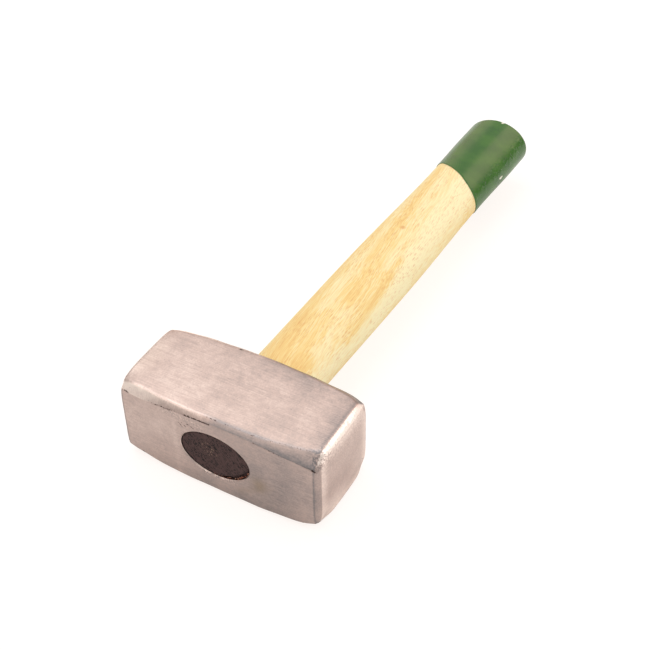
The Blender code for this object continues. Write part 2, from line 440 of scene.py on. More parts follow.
@dataclass(frozen=True)
class GroundForgedSteel(Finish):
    """Carbon steel, drop forged and then ground bare on a belt.

    The belt leaves fine lines along the head, so the faces look silky and warm grey. The chamfers were
    dressed by hand, across the edge, and keep traces of the black forge scale along their borders.
    """

    name: str = "ground_forged_steel"
    roughness: float = 0.43
    metallic: float = 1.0
    dark: str = "#807A79"
    middle: str = "#C1ACA3"
    light: str = "#EFDDD2"
    glare: str = "#FFEFE4"
    scale: str = "#4A3B38"
    stain: str = "#8F7A58"
    belt_line: float = 0.45 * MM  # real lines are 0.1 mm apart, under a pixel, so these are coarser
    belt_run: float = 12 * MM
    cloud: float = 15 * MM
    mottle: float = 2.4 * MM
    fine: float = 0.8 * MM
    hatch: float = 0.45 * MM
    pit: float = 3.5 * MM
    pit_edge: tuple[float, float] = (0.10, 0.06)  # shares of a cell between which a pit fades in
    pit_strength: float = 0.35
    shares: tuple[float, ...] = (0.40, 0.30, 0.35, 0.35)  # of clouds, mottling, lines and fine grain
    tone_range: tuple[float, float] = (0.2, 1.45)  # the tones that get the darkest and the lightest colour
    scale_grain: float = 1.6  # how much the fine grain frays the scale's edge
    scale_edge: tuple[float, float] = (1.22, 1.42)
    rough_spread: tuple[float, float] = (-0.05, 0.07)
    relief: float = 0.03 * MM

    def draw(self, tree: bpy.types.NodeTree, shader: bpy.types.Node) -> None:
        """Add belt lines, clouds, pits, hatched chamfers, scale and stain to the painted tone, which holds
        painted light and shade.

        Args:
            tree: The material's nodes.
            shader: Its Principled shader.
        """
        place = add_node(tree, "TexCoord").outputs["Object"]
        painted = {
            name: add_node(tree, "Attribute", attribute_name=name).outputs["Fac"]
            for name in ("tone", "hatched", "scaled", "stained", "rough")
        }
        belt = rough_noise(tree, place, (self.belt_run, self.belt_line, self.belt_line), 3.0)
        hatch = rough_noise(tree, place, (self.hatch, 10 * self.hatch, 10 * self.hatch), 2.0)
        cloud = rough_noise(tree, place, [self.cloud] * 3, 2.0)
        mottle = rough_noise(tree, place, [self.mottle] * 3, 3.0)
        fine = rough_noise(tree, place, [self.fine] * 3, 3.0)
        either = {"Factor": painted["hatched"], "A": belt.outputs[0], "B": hatch.outputs[0]}
        lines = add_node(tree, "Mix", either)

        tone = painted["tone"]
        for pattern, share in zip((cloud, mottle, lines, fine), self.shares):
            step = add_node(tree, "Math", {0: pattern, 1: share, 2: tone}, operation="MULTIPLY_ADD")
            tone = step.outputs[0]
        grit = add_node(tree, "Math", {0: fine, 1: 0.5}, operation="SUBTRACT")
        gritty = add_node(tree, "Math", {0: grit, 1: painted["rough"], 2: tone}, operation="MULTIPLY_ADD")
        level = add_node(tree, "MapRange", {0: gritty, 1: self.tone_range[0], 2: self.tone_range[1]})
        stops = ((0.0, self.dark), (0.4, self.middle), (0.8, self.light), (1.0, self.glare))
        steel = add_node(tree, "ValToRGB", {"Fac": level}, stops=stops)

        cells = add_node(tree, "TexVoronoi", {"Vector": place, "Scale": 1 / self.pit})
        edge, core = self.pit_edge
        depth = {0: cells.outputs["Distance"], 1: edge, 2: core, 3: 0.0, 4: self.pit_strength}
        pits = add_node(tree, "MapRange", depth)
        pitted = blend(tree, pits, steel, self.dark)
        stained = blend(tree, painted["stained"], pitted, self.stain)
        fraying = {0: fine, 1: self.scale_grain, 2: painted["scaled"]}
        ragged = add_node(tree, "Math", fraying, operation="MULTIPLY_ADD")
        scaly = add_node(tree, "MapRange", {0: ragged, 1: self.scale_edge[0], 2: self.scale_edge[1]})
        tree.links.new(blend(tree, scaly, stained, self.scale), shader.inputs["Base Color"])

        low, high = (self.roughness + change for change in self.rough_spread)
        rough = add_node(tree, "MapRange", {0: mottle, 1: 0.3, 2: 0.7, 3: low, 4: high})
        tree.links.new(rough.outputs[0], shader.inputs["Roughness"])
        height = add_node(tree, "Math", {0: lines, 1: 0.6, 2: fine}, operation="MULTIPLY_ADD")
        bump = add_node(tree, "Bump", {"Height": height, "Distance": self.relief, "Strength": 0.6})
        tree.links.new(bump.outputs[0], shader.inputs["Normal"])


@dataclass(frozen=True)
class Dash:
    """One kind of short dark dash along the grain."""

    width: float
    run: float
    edge: float  # how far from its middle, as a share of its size, the dash starts to show
    core: float  # and how far it is full
    strength: float


@dataclass(frozen=True)
class Rubberwood(Finish):
    """Rubberwood, turned and sanded, with no varnish.

    The wood is cream with soft honey bands. Its large open pores show as short dashes along the grain, which
    runs a little askew to the handle.
    """

    name: str = "rubberwood"
    roughness: float = 0.6
    ior: float = 1.45
    specular: float = 0.35
    cream: str = "#FFF2C2"
    honey: str = "#F9D992"
    amber: str = "#EDB56C"
    pore: str = "#E3A262"
    band: float = 8 * MM
    band_run: float = 120 * MM
    band_share: float = 0.38
    fibre: float = 0.5 * MM
    fibre_run: float = 12 * MM
    fibre_share: float = 0.54
    drift: tuple[float, float, float] = (7 * MM, 0.0, 3 * MM)  # how far the grain wanders
    dashes: tuple[Dash, ...] = (  # real pores are about 0.2 mm wide, under a pixel, so these are coarser
        Dash(0.75 * MM, 6.0 * MM, 0.34, 0.16, 0.55),
        Dash(0.45 * MM, 4.5 * MM, 0.40, 0.20, 0.42),
    )
    grain_turn: float = math.radians(7)
    knot: tuple[float, float, float] = (-0.1 * MM, 142 * MM, 13.2 * MM)
    knot_reach: tuple[float, float] = (3.3 * MM, 2.0 * MM)  # distances between which it fades in
    knot_strength: float = 0.7
    knot_ragged: float = 3.0 * MM

    def draw(self, tree: bpy.types.NodeTree, shader: bpy.types.Node) -> None:
        """Add bands, fibres, pores and a small knot.

        Args:
            tree: The material's nodes.
            shader: Its Principled shader.
        """
        place = add_node(tree, "TexCoord").outputs["Object"]
        # the painted tone: the wood's bands, and painted light along both flanks
        painted = add_node(tree, "Attribute", attribute_name="tone").outputs["Fac"]
        turned = add_node(tree, "Mapping", {"Vector": place, "Rotation": (0.0, 0.0, -self.grain_turn)})
        drift = rough_noise(tree, place, (30 * MM, 45 * MM, 30 * MM), 1.0)
        drifted = add_node(
            tree,
            "VectorMath",
            {0: drift.outputs["Color"], 1: self.drift, 2: turned},
            operation="MULTIPLY_ADD",
        )

        band = rough_noise(tree, drifted, (self.band, self.band_run, 2 * self.band), 2.5)
        fibre = rough_noise(tree, drifted, (self.fibre, self.fibre_run, self.fibre), 2.0)
        tone = painted
        for pattern, share in ((band, self.band_share), (fibre, self.fibre_share)):
            step = add_node(tree, "Math", {0: pattern, 1: share, 2: tone}, operation="MULTIPLY_ADD")
            tone = step.outputs[0]
        stops = ((0.30, self.cream), (0.52, self.honey), (0.85, self.amber))
        colour = add_node(tree, "ValToRGB", {"Fac": tone}, stops=stops).outputs["Color"]

        crowd = rough_noise(tree, drifted, (5 * MM, 25 * MM, 5 * MM), 1.0)
        sunk = None
        for dash in self.dashes:
            spot = stretched(tree, drifted, (dash.width, dash.run, dash.width))
            cells = add_node(tree, "TexVoronoi", {"Vector": spot, "Scale": 1.0})
            dark = add_node(tree, "MapRange", {0: cells.outputs["Distance"], 1: dash.edge, 2: dash.core})
            crowded = add_node(tree, "MapRange", {0: crowd, 1: 0.36, 2: 0.62, 3: 0.1, 4: dash.strength})
            sunk = add_node(tree, "Math", {0: dark, 1: crowded}, operation="MULTIPLY")
            colour = blend(tree, sunk, colour, self.pore)

        away = add_node(tree, "VectorMath", {0: place, 1: self.knot}, operation="DISTANCE")
        fraying = {0: fibre, 1: self.knot_ragged, 2: away.outputs["Value"]}
        ragged = add_node(tree, "Math", fraying, operation="MULTIPLY_ADD")
        far, close = self.knot_reach
        knot = add_node(tree, "MapRange", {0: ragged, 1: far, 2: close, 3: 0.0, 4: self.knot_strength})
        tree.links.new(blend(tree, knot, colour, self.pore), shader.inputs["Base Color"])

        height = add_node(tree, "Math", {0: fibre, 1: sunk}, operation="SUBTRACT")
        bump = add_node(tree, "Bump", {"Height": height, "Distance": 0.04 * MM, "Strength": 0.5})
        tree.links.new(bump.outputs[0], shader.inputs["Normal"])


@dataclass(frozen=True)
class DippedEnamel(Finish):
    """Green alkyd enamel, dipped once and hung to drip dry.

    The film is glossy but thin, so growth rings of the wood show through it as faint ripples, and dust nibs
    stand in it on the side that hung lowest. Two knocks have chipped it down to the pale wood.
    """

    name: str = "dipped_enamel"
    roughness: float = 0.27
    deep: str = "#2A5D07"
    thin: str = "#3A6A12"
    chip: str = "#F1EED8"
    cloud: float = 9 * MM
    nib: float = 1.5 * MM
    drag: float = 0.9 * MM
    ring: float = 1.0 * MM
    ring_middle: tuple[float, float, float] = (-9 * MM, 203 * MM, 10 * MM)
    ring_reach: float = 16 * MM
    ring_tint: float = 0.16
    ring_relief: float = 0.08
    drag_relief: float = 0.12
    relief: float = 0.40 * MM

    def draw(self, tree: bpy.types.NodeTree, shader: bpy.types.Node) -> None:
        """Add clouds, ripples, nibs and chips.

        Args:
            tree: The material's nodes.
            shader: Its Principled shader.
        """
        place = add_node(tree, "TexCoord").outputs["Object"]
        nibbed = add_node(tree, "Attribute", attribute_name="nibs").outputs["Fac"]
        chipped = add_node(tree, "Attribute", attribute_name="chip").outputs["Fac"]
        cloud = rough_noise(tree, place, [self.cloud] * 3, 2.0)
        away = add_node(tree, "VectorMath", {0: place, 1: self.ring_middle}, operation="DISTANCE")
        bend = {0: cloud, 1: 3 * self.ring, 2: away.outputs["Value"]}
        bent = add_node(tree, "Math", bend, operation="MULTIPLY_ADD")
        phase = add_node(tree, "Math", {0: bent, 1: 2 * math.pi / self.ring}, operation="MULTIPLY")
        rings = add_node(tree, "Math", {0: phase}, operation="SINE")
        fading = {0: away.outputs["Value"], 1: self.ring_reach, 2: 0.4 * self.ring_reach}
        near = add_node(tree, "MapRange", fading)
        ripple = add_node(tree, "Math", {0: rings, 1: near}, operation="MULTIPLY")
        tone = add_node(tree, "Math", {0: ripple, 1: self.ring_tint, 2: cloud}, operation="MULTIPLY_ADD")
        film = add_node(tree, "ValToRGB", {"Fac": tone}, stops=((0.35, self.deep), (0.65, self.thin)))
        tree.links.new(blend(tree, chipped, film, self.chip), shader.inputs["Base Color"])

        cells = add_node(tree, "TexVoronoi", {"Vector": place, "Scale": 1 / self.nib})
        dots = add_node(tree, "MapRange", {0: cells.outputs["Distance"], 1: 0.36, 2: 0.02})
        raised = add_node(tree, "Math", {0: dots, 1: nibbed}, operation="MULTIPLY")
        drawn = rough_noise(tree, place, (self.drag, 8 * self.drag, self.drag), 1.0)
        waved = add_node(tree, "Math", {0: drawn, 1: self.drag_relief, 2: raised}, operation="MULTIPLY_ADD")
        rising = {0: ripple, 1: self.ring_relief, 2: waved}
        height = add_node(tree, "Math", rising, operation="MULTIPLY_ADD")
        bump = add_node(tree, "Bump", {"Height": height, "Distance": self.relief, "Strength": 0.8})
        tree.links.new(bump.outputs[0], shader.inputs["Normal"])


@dataclass(frozen=True)
class PitchSeal(Finish):
    """Bituminous paint, brushed thick over the sawn end of the handle.

    It is brown black and dull, follows the saw marks below it, and holds a few pale crumbs.
    """

    name: str = "pitch_seal"
    roughness: float = 0.75
    specular: float = 0.25
    dark: str = "#1E1514"
    light: str = "#56403D"
    crumb: str = "#C8A48A"
    saw_mark: float = 0.5 * MM
    saw_turn: float = math.radians(40)
    grit: float = 0.6 * MM
    crumb_cell: float = 1.3 * MM
    crumb_middle: tuple[float, float, float] = (-3.0 * MM, -22.3 * MM, 25.0 * MM)
    crumb_reach: tuple[float, float] = (5.5 * MM, 1.5 * MM)  # distances between which they grow denser
    crumb_strength: float = 0.5

    def draw(self, tree: bpy.types.NodeTree, shader: bpy.types.Node) -> None:
        """Add saw marks, mottling and crumbs near the middle.

        Args:
            tree: The material's nodes.
            shader: Its Principled shader.
        """
        place = add_node(tree, "TexCoord").outputs["Object"]
        turned = add_node(tree, "Mapping", {"Vector": place, "Rotation": (0.0, self.saw_turn, 0.0)})
        saw = rough_noise(tree, turned, (self.saw_mark, self.saw_mark, 8 * self.saw_mark), 3.0)
        grit = rough_noise(tree, place, [self.grit] * 3, 2.0)
        tone = add_node(tree, "Math", {0: saw, 1: grit}, operation="ADD")
        pitch = add_node(tree, "ValToRGB", {"Fac": tone}, stops=((0.85, self.dark), (1.20, self.light)))
        cells = add_node(tree, "TexVoronoi", {"Vector": place, "Scale": 1 / self.crumb_cell})
        dots = add_node(tree, "MapRange", {0: cells.outputs["Distance"], 1: 0.34, 2: 0.18})
        away = add_node(tree, "VectorMath", {0: place, 1: self.crumb_middle}, operation="DISTANCE")
        far, close = self.crumb_reach
        density = {0: away.outputs["Value"], 1: far, 2: close, 3: 0.0, 4: self.crumb_strength}
        amid = add_node(tree, "MapRange", density)
        crumbs = add_node(tree, "Math", {0: dots, 1: amid}, operation="MULTIPLY")
        tree.links.new(blend(tree, crumbs, pitch, self.crumb), shader.inputs["Base Color"])
        bump = add_node(tree, "Bump", {"Height": tone, "Distance": 0.15 * MM, "Strength": 0.7})
        tree.links.new(bump.outputs[0], shader.inputs["Normal"])


@dataclass(frozen=True)
class RustyCrumb(Finish):
    """Crumbs of rust and dry pitch, crushed between the tenon and the eye. They are red brown and matt."""

    name: str = "rusty_crumb"
    roughness: float = 0.8
    specular: float = 0.3
    dark: str = "#1C1210"
    rust: str = "#9A4326"
    pale: str = "#D9B79C"
    grain: float = 0.6 * MM

    def draw(self, tree: bpy.types.NodeTree, shader: bpy.types.Node) -> None:
        """Mix the colours grain by grain.

        Args:
            tree: The material's nodes.
            shader: Its Principled shader.
        """
        place = add_node(tree, "TexCoord").outputs["Object"]
        grains = rough_noise(tree, place, [self.grain] * 3, 2.0)
        stops = ((0.42, self.dark), (0.55, self.rust), (0.68, self.pale))
        crumbs = add_node(tree, "ValToRGB", {"Fac": grains}, stops=stops)
        tree.links.new(crumbs.outputs["Color"], shader.inputs["Base Color"])


@dataclass(frozen=True)
class WedgeBeech(Finish):
    """Beech, split and planed to a wedge. It is pinkish brown, with short dark rays along the grain."""

    name: str = "wedge_beech"
    roughness: float = 0.6
    ior: float = 1.45
    pale: str = "#D9AE82"
    dark: str = "#A9764A"
    ray: float = 0.8 * MM

    def draw(self, tree: bpy.types.NodeTree, shader: bpy.types.Node) -> None:
        """Add the rays.

        Args:
            tree: The material's nodes.
            shader: Its Principled shader.
        """
        place = add_node(tree, "TexCoord").outputs["Object"]
        grain = rough_noise(tree, place, (self.ray, 10 * self.ray, self.ray), 3.0)
        beech = add_node(tree, "ValToRGB", {"Fac": grain}, stops=((0.35, self.dark), (0.6, self.pale)))
        tree.links.new(beech.outputs["Color"], shader.inputs["Base Color"])


@dataclass(frozen=True)
class WedgeSteel(Finish):
    """Mild steel, sheared and left with its blue grey mill skin, which is smooth with small bare spots."""

    name: str = "wedge_steel"
    roughness: float = 0.45
    metallic: float = 1.0
    skin: str = "#55585C"
    bare: str = "#9A9690"
    spot: float = 2 * MM

    def draw(self, tree: bpy.types.NodeTree, shader: bpy.types.Node) -> None:
        """Add the bare spots.

        Args:
            tree: The material's nodes.
            shader: Its Principled shader.
        """
        place = add_node(tree, "TexCoord").outputs["Object"]
        spots = rough_noise(tree, place, [self.spot] * 3, 3.0)
        steel = add_node(tree, "ValToRGB", {"Fac": spots}, stops=((0.5, self.skin), (0.65, self.bare)))
        tree.links.new(steel.outputs["Color"], shader.inputs["Base Color"])


# Form of the handle


@dataclass(frozen=True)
class HandleForm:
    """The oval that the eye, the handle, the seal and the coat share, along the handle's own axis."""

    half_depth: float = (HEAD_HIGH.y - HEAD_LOW.y) / 2  # of the head, which the eye goes through
    reach: float = 256.0 * MM  # from the middle of the eye to the end
    lean: float = math.radians(1.8)
    eye_width: float = 34.6 * MM  # at the eye face
    eye_height: float = 24.4 * MM
    waist_inset: float = 0.5 * MM  # how much narrower the eye's waist is, on each side
    back_flare: float = 0.4 * MM
    eye_rise: float = 0.8 * MM
    eye_shift: float = 0.5 * MM
    fit_gap: float = 0.3 * MM
    belly: tuple[float, float] = (35.4 * MM, 27.0 * MM)
    waist: tuple[float, float] = (33.1 * MM, 25.3 * MM)
    end: tuple[float, float] = (34.5 * MM, 26.7 * MM)
    belly_to_waist: float = 82 * MM
    waist_to_flare: float = 41 * MM
    end_length: float = 15 * MM
    end_round: float = 2.6 * MM

    def matrix(self) -> Matrix:
        """Give the place and turn of the handle's own frame."""
        middle = (HEAD_LOW.z + HEAD_HIGH.z) / 2 + self.eye_rise
        return Matrix.Translation((self.eye_shift, 0.0, middle)) @ Matrix.Rotation(-self.lean, 4, "Z")

    def eye(self, y: float) -> tuple[float, float]:
        """Give the eye's half width and half height.

        Args:
            y: The place along the axis.

        Returns:
            Half of the width and half of the height.
        """
        growth = self.waist_inset if y < 0 else self.waist_inset + self.back_flare
        change = growth * abs(y) / self.half_depth - self.waist_inset
        return self.eye_width / 2 + change, self.eye_height / 2 + change

    def wood(self, y: float) -> tuple[float, float]:
        """Give the handle's half width and half height.

        Args:
            y: The place along the axis.

        Returns:
            Half of the width and half of the height.
        """
        width, height = self.eye(min(y, self.half_depth))
        if y <= self.half_depth:
            return width - self.fit_gap, height - self.fit_gap
        flare_at = self.reach - self.end_length
        waist_at = flare_at - self.waist_to_flare
        stations = (
            (self.half_depth, 2 * (width - self.fit_gap), 2 * (height - self.fit_gap)),
            (waist_at - self.belly_to_waist, *self.belly),
            (waist_at, *self.waist),
            (flare_at, *self.end),
            (self.reach, *self.end),
        )
        for (start, *near), (stop, *far) in zip(stations, stations[1:]):
            if y <= stop:
                share = (1 - math.cos(math.pi * (y - start) / (stop - start))) / 2
                width, height = (a + (b - a) * share for a, b in zip(near, far))
                return width / 2, height / 2
        return self.end[0] / 2, self.end[1] / 2

    def rounded_end(self, proud: float, steps: int) -> list[tuple[float, float]]:
        """Give the profile of the rounded end.

        Args:
            proud: How far the surface stands off the wood.
            steps: How many pieces the rounding has.

        Returns:
            Pairs of a place along the axis and an inset from the end's full size.
        """
        profile = []
        for step in range(1, steps + 1):
            angle = math.pi / 2 * step / steps
            inset = self.end_round * (1 - math.cos(angle)) - proud * math.cos(angle)
            y = self.reach - self.end_round + (self.end_round + proud) * math.sin(angle)
            profile.append((y, inset))
        return profile


FORM = HandleForm()


def oval(width: float, height: float, y: float, sides: int) -> list[tuple[float, float, float]]:
    """Give the points of an oval across the handle's axis.

    Args:
        width: Half of the oval's width.
        height: Half of its height.
        y: Its place along the axis.
        sides: How many points it has.

    Returns:
        The points, from +X up to +Z and round.
    """
    turns = [2 * math.pi * side / sides for side in range(sides)]
    return [(width * math.cos(turn), y, height * math.sin(turn)) for turn in turns]


def spread(start: float, stop: float, step: float) -> list[float]:
    """Give even places from start to stop, at most a step apart, with both ends."""
    count = max(1, math.ceil((stop - start) / step))
    return [start + (stop - start) * i / count for i in range(count + 1)]


# Sub-assemblies


@dataclass(frozen=True)
class HeadTones:
    """How much lighter each stretch of the head is painted than plain ground steel, or darker if below zero.
    Most are painted highlights and painted shade, as each says.
    """

    left_chamfer_highlight: float = 0.34  # painted highlight on the upper front chamfer, at the cheek's border
    left_end_highlight: float = 0.55  # what the -X end adds to that painted highlight
    left_shade_fall: float = -0.40  # painted shade, added from the cheek's border to the side's
    right_chamfer: float = 0.06
    # painted shade, added from the cheek's border to the side's, with the duller finish of this chamfer
    right_shade_fall: float = -0.52
    right_crease_shade: float = -0.35  # painted shade in the crease along the cheek's border
    # painted highlight along the top's rim
    top_rim_highlight: float = 0.75
    front_rim: float = -0.12
    rim_line: float = -0.34  # where the front's rim starts
    rim_side_shade: float = -0.20  # painted shade on the top beside its rim
    face: float = 0.06
    # painted highlight along the rounded borders of the striking faces
    face_border_highlight: float = 0.30
    # painted shade in the eye's bore, whose wall is also dark unground steel
    bore: float = -0.9
    # painted highlight on the bevel at the eye's mouths
    mouth: float = 0.25


@dataclass
class ForgedHead:
    """The head: a square bar with chamfered long edges, a rim round each striking face and an eye."""

    length: float = HEAD_HIGH.x - HEAD_LOW.x
    height: float = HEAD_HIGH.z - HEAD_LOW.z
    depth: float = HEAD_HIGH.y - HEAD_LOW.y
    end_depth: float = 43.5 * MM
    eye_band: float = 36 * MM
    taper_power: float = 1.8
    chamfer_middle: float = 1.9 * MM
    chamfer_end: float = 4.9 * MM
    low_front_end: float = 3.3 * MM  # the lower front chamfer was ground less towards +X
    high_front_end: float = 5.6 * MM  # and the upper front one more
    left_cheek_end: float = 2.7 * MM  # towards -X that one is narrow on the cheek and deep on the side
    left_side_end: float = 5.1 * MM
    left_side_power: float = 0.4  # how early its leg on the side grows
    chamfer_wander: float = 0.10  # share of its leg that a chamfer's borders wander
    chamfer_waves: tuple[float, float] = (6.3 * MM, 2.7 * MM)
    rim_inset: float = 3.2 * MM
    rim_setback: float = 2.3 * MM
    rim_shrink: float = 0.25  # how much shorter the chamfers' legs get for each length that a rim goes in
    rim_bulge: float = 0.6  # from 0 for a flat rim to 1 for a round one
    crown: float = 0.5 * MM
    crown_power: float = 2.5
    cheek_softness: float = 0.9 * MM  # how far the rounding between cheek and chamfer reaches
    side_softness: float = 0.25 * MM
    end_softness: float = 1.0 * MM  # how much further both roundings reach at the striking faces
    cheek_roll: float = 0.13 * MM  # how far the belt rolled the cheeks over towards the chamfers
    roll_width: float = 10 * MM
    eye_bevel: float = 0.5 * MM
    ring_step: float = 0.65 * MM
    flat_steps: int = 58
    chamfer_steps: int = 6
    round_steps: int = 4
    rim_steps: int = 8
    crown_rings: int = 20
    eye_sides: int = 176
    sharp: float = math.radians(40)
    grinding: float = 0.05 * MM  # depth of the slow waves that grinding leaves
    forging: float = 0.08 * MM  # depth of the pitting that forging left near the edges and on the ends
    burr_at: float = -88.0  # degrees from +X, low on the eye's front mouth
    burr_reach: float = 24.0
    burr_depth: float = 0.9 * MM
    mouth_stray: float = 0.04 * MM
    hatch_fade: tuple[float, float] = (-6 * MM, 2 * MM)  # the hatching ends between these places
    tone: HeadTones = HeadTones()
    # Lighter and darker patches; most are painted light and shade, as marked
    tones: Sequence[Patch | Streak] = (
        # painted highlights on the top, towards its front edge and its left end
        Patch((-18, -14, 44), (30, 6, 4), 0.05),
        Patch((-32, 5, 44), (12, 8, 4), 0.10),
        Patch((0, 14, 44), (12, 5, 4), 0.08),
        # painted highlights on the right face
        Patch((50, -9, 9), (2, 9, 5), 0.26),
        Patch((50, 4, 38), (2, 9, 5), 0.10),
        Patch((-20, -23, 14), (14, 4, 9), -0.12),
        # painted highlight on the top at the left end
        Patch((-46, -4, 44), (5, 16, 5), 0.12),
        # painted shade on the top towards the handle
        Patch((14, 18, 44), (30, 7, 4), -0.16),
        Patch((-2.5, 3.6, 44), (2.2, 2.2, 3), -0.14),
        # painted shade on the top along the right rim
        Patch((45, 0, 44), (4.5, 19, 4), -0.20),
        Patch((5, -22, 43), (7, 4, 3), -0.12),
        Patch((43, -20, 42), (5, 4, 3), 0.10),
        Streak((-20, -23, 4), (-20, -23, 33), 1.3, 0.09),
        # painted light and shade on the front: lighter at its left, darker at its right and along its bottom
        Patch((-40, -22, 24), (16, 4, 18), 0.10),
        Patch((28, -22, 20), (22, 4, 22), -0.30),
        Patch((8, -23, 3), (34, 4, 5), -0.20),
        Patch((50, 2, 20), (2, 10, 10), -0.10),
    )
    stains: Sequence[Patch | Streak] = (
        Patch((22, -23, 17), (4, 3, 4), 0.40),
        Streak((12, -23, 8), (22, -23, 14), 2.0, 0.15),
        Patch((-45, -2, 44), (5, 12, 4), 0.10),
    )
    low_scale: Sequence[tuple[float, float, float]] = (  # start, stop and strength, below that chamfer
        (-46.5, -43.5, 0.9),
        (-31, -20, 0.66),
        (-15, -1, 0.70),
        (18, 33, 0.35),
        (46.5, 49, 1.0),
    )
    high_scale: Sequence[tuple[float, float, float]] = ((-6, 44, 0.42), (-30, -8, 0.2))  # above it
    other_scale: float = 0.35  # along the side's border of every other chamfer
    scratches: Sequence[Patch | Streak] = (
        Streak((-17.2, -23, 35.4), (-15.0, -23, 33.0), 0.35, 0.75),
        Streak((-15.5, -23, 36.0), (-13.4, -23, 33.8), 0.30, 0.6),
        Streak((-13.0, -23, 36.4), (-9.5, -23, 35.2), 0.40, 0.7),
        Streak((-9.0, -23, 36.6), (-7.0, -23, 35.2), 0.30, 0.5),
        Patch((-5.2, -23, 36.2), (0.6, 1, 0.5), 0.85),
        Patch((-39.8, -22.5, 4.8), (0.6, 1, 0.5), 0.7),
        Patch((-12.6, 20.5, 44), (1.6, 1.0, 1.0), 0.7),
        Patch((7.4, 22.0, 43.6), (1.8, 1.0, 1.0), 0.7),
        Patch((48.4, -19.6, 41.0), (0.9, 0.9, 1.1), 0.9),
    )
    rough_spots: Sequence[Patch | Streak] = (
        Patch((49.0, -16.5, 41.3), (2.6, 4.0, 2.8), 4.0),
        Streak((-6, -23, 10.6), (8, -23, 11.6), 1.1, 2.6),
        Streak((-24, -23, 39), (-6, -23, 38), 1.6, 0.8),
    )
    dents: Sequence[Patch] = (  # the strength is the depth, in millimetres
        Patch((-50, -20, 43), (5, 7, 6), 1.1),
        Patch((-50, 20, 44), (5, 6, 5), 0.75),
        Patch((-50, -20, 1), (4, 5, 5), 0.6),
        Patch((50, 20, 43), (4, 6, 6), 0.9),
        Patch((50, 20, 2), (4, 6, 6), 1.3),
        Patch((50, -19, 1.5), (5.5, 7, 5.5), 1.7),
        Patch((50, -20, 42.5), (4, 5, 4), 0.8),
        Patch((48.9, -20.0, 41.2), (1.4, 1.4, 1.6), 0.25),
        Patch((49.0, -9.0, 43.0), (0.9, 1.6, 0.9), 0.16),
        Patch((49.2, 6.0, 43.0), (0.9, 1.2, 0.9), 0.20),
        Patch((49.6, 12.0, 41.0), (1.2, 1.4, 1.2), 0.18),
        Patch((49.9, -1.5, 39.7), (1.2, 0.9, 0.9), 0.15),
        Patch((-12.6, 21.5, 43.3), (1.6, 0.8, 0.8), 0.20),
        Patch((7.4, 22.0, 43.0), (1.8, 0.8, 0.8), 0.18),
        Patch((41.0, -22.4, 8.0), (1.0, 0.8, 0.6), 0.15),
    )

    @property
    def middle(self) -> float:
        """Height of the head's middle."""
        return HEAD_LOW.z + self.height / 2

    @property
    def shoulder(self) -> float:
        """Distance from the middle to where a rim starts."""
        return self.length / 2 - self.crown - self.rim_setback

    def half_depth(self, x: np.ndarray | float) -> np.ndarray | float:
        """Give half of the head's depth at a place, or at places, along it."""
        share = np.clip((np.abs(x) - self.eye_band / 2) / (self.shoulder - self.eye_band / 2), 0, 1)
        return (self.depth - (self.depth - self.end_depth) * share**self.taper_power) / 2

    def legs(self, x: np.ndarray, side: np.ndarray, level: np.ndarray) -> tuple[np.ndarray, np.ndarray]:
        """Give the legs of a long chamfer.

        Args:
            x: The place along the head.
            side: 1 for the handle's side, -1 for the eye face.
            level: 1 for the upper cheek, -1 for the lower.

        Returns:
            The distances from the missing corner to the chamfer's borders, on the cheek and on the side.
        """
        share = np.clip(np.abs(x) / self.shoulder, 0, 1) ** 2
        front, upper, right = side < 0, level > 0, x > 0
        front_end = np.where(upper, self.high_front_end, self.low_front_end)
        end = np.where(front & right, front_end, self.chamfer_end)
        leg = self.chamfer_middle + (end - self.chamfer_middle) * share
        leans = front & upper & ~right
        narrow = self.chamfer_middle + (self.left_cheek_end - self.chamfer_middle) * share
        deep = self.chamfer_middle + (self.left_side_end - self.chamfer_middle) * share**self.left_side_power
        cheek_leg, side_leg = np.where(leans, narrow, leg), np.where(leans, deep, leg)
        phase = 1.7 * side + 2.9 * level
        long, short = self.chamfer_waves
        waves = np.sin(x / long + phase) + 0.6 * np.sin(x / short + 2 * phase)
        stray = 1 + self.chamfer_wander * waves / 1.6
        return cheek_leg * stray, side_leg * stray

    def outline(self, x: float, inset: float) -> list[Vector]:
        """Give the head's outline across its length.

        Args:
            x: The place along the head.
            inset: How far the outline lies inside the full one.

        Returns:
            Its points as pairs of Y and Z, measured from the middle.
        """
        corners, softness = [], []
        for side, level in ((-1, -1), (1, -1), (1, 1), (-1, 1)):
            legs = self.legs(np.array(x), np.array(side), np.array(level))
            cheek_leg, side_leg = (float(leg) - inset * self.rim_shrink for leg in legs)
            half_depth, half_height = float(self.half_depth(x)) - inset, self.height / 2 - inset
            end_share = float(eased(np.array(abs(x)), self.shoulder - 6 * MM, self.shoulder))
            near_end = self.end_softness * end_share
            most = 0.45 * math.hypot(cheek_leg, side_leg)
            on_side = (Vector((side * half_depth, level * (half_height - side_leg))), self.side_softness)
            on_cheek = (Vector((side * (half_depth - cheek_leg), level * half_height)), self.cheek_softness)
            pair = [on_side, on_cheek] if side == level else [on_cheek, on_side]
            corners += [corner for corner, _ in pair]
            softness += [min(reach + near_end, most) for _, reach in pair]
        rounds = [
            soften(corner, corners[i - 1], corners[(i + 1) % len(corners)], softness[i], self.round_steps)
            for i, corner in enumerate(corners)
        ]
        points = []
        for i, rounded in enumerate(rounds):
            onward = rounds[(i + 1) % len(rounds)][0]
            steps = self.flat_steps if i % 2 else self.chamfer_steps
            points += rounded
            points += [rounded[-1].lerp(onward, step / steps) for step in range(1, steps)]
        return points

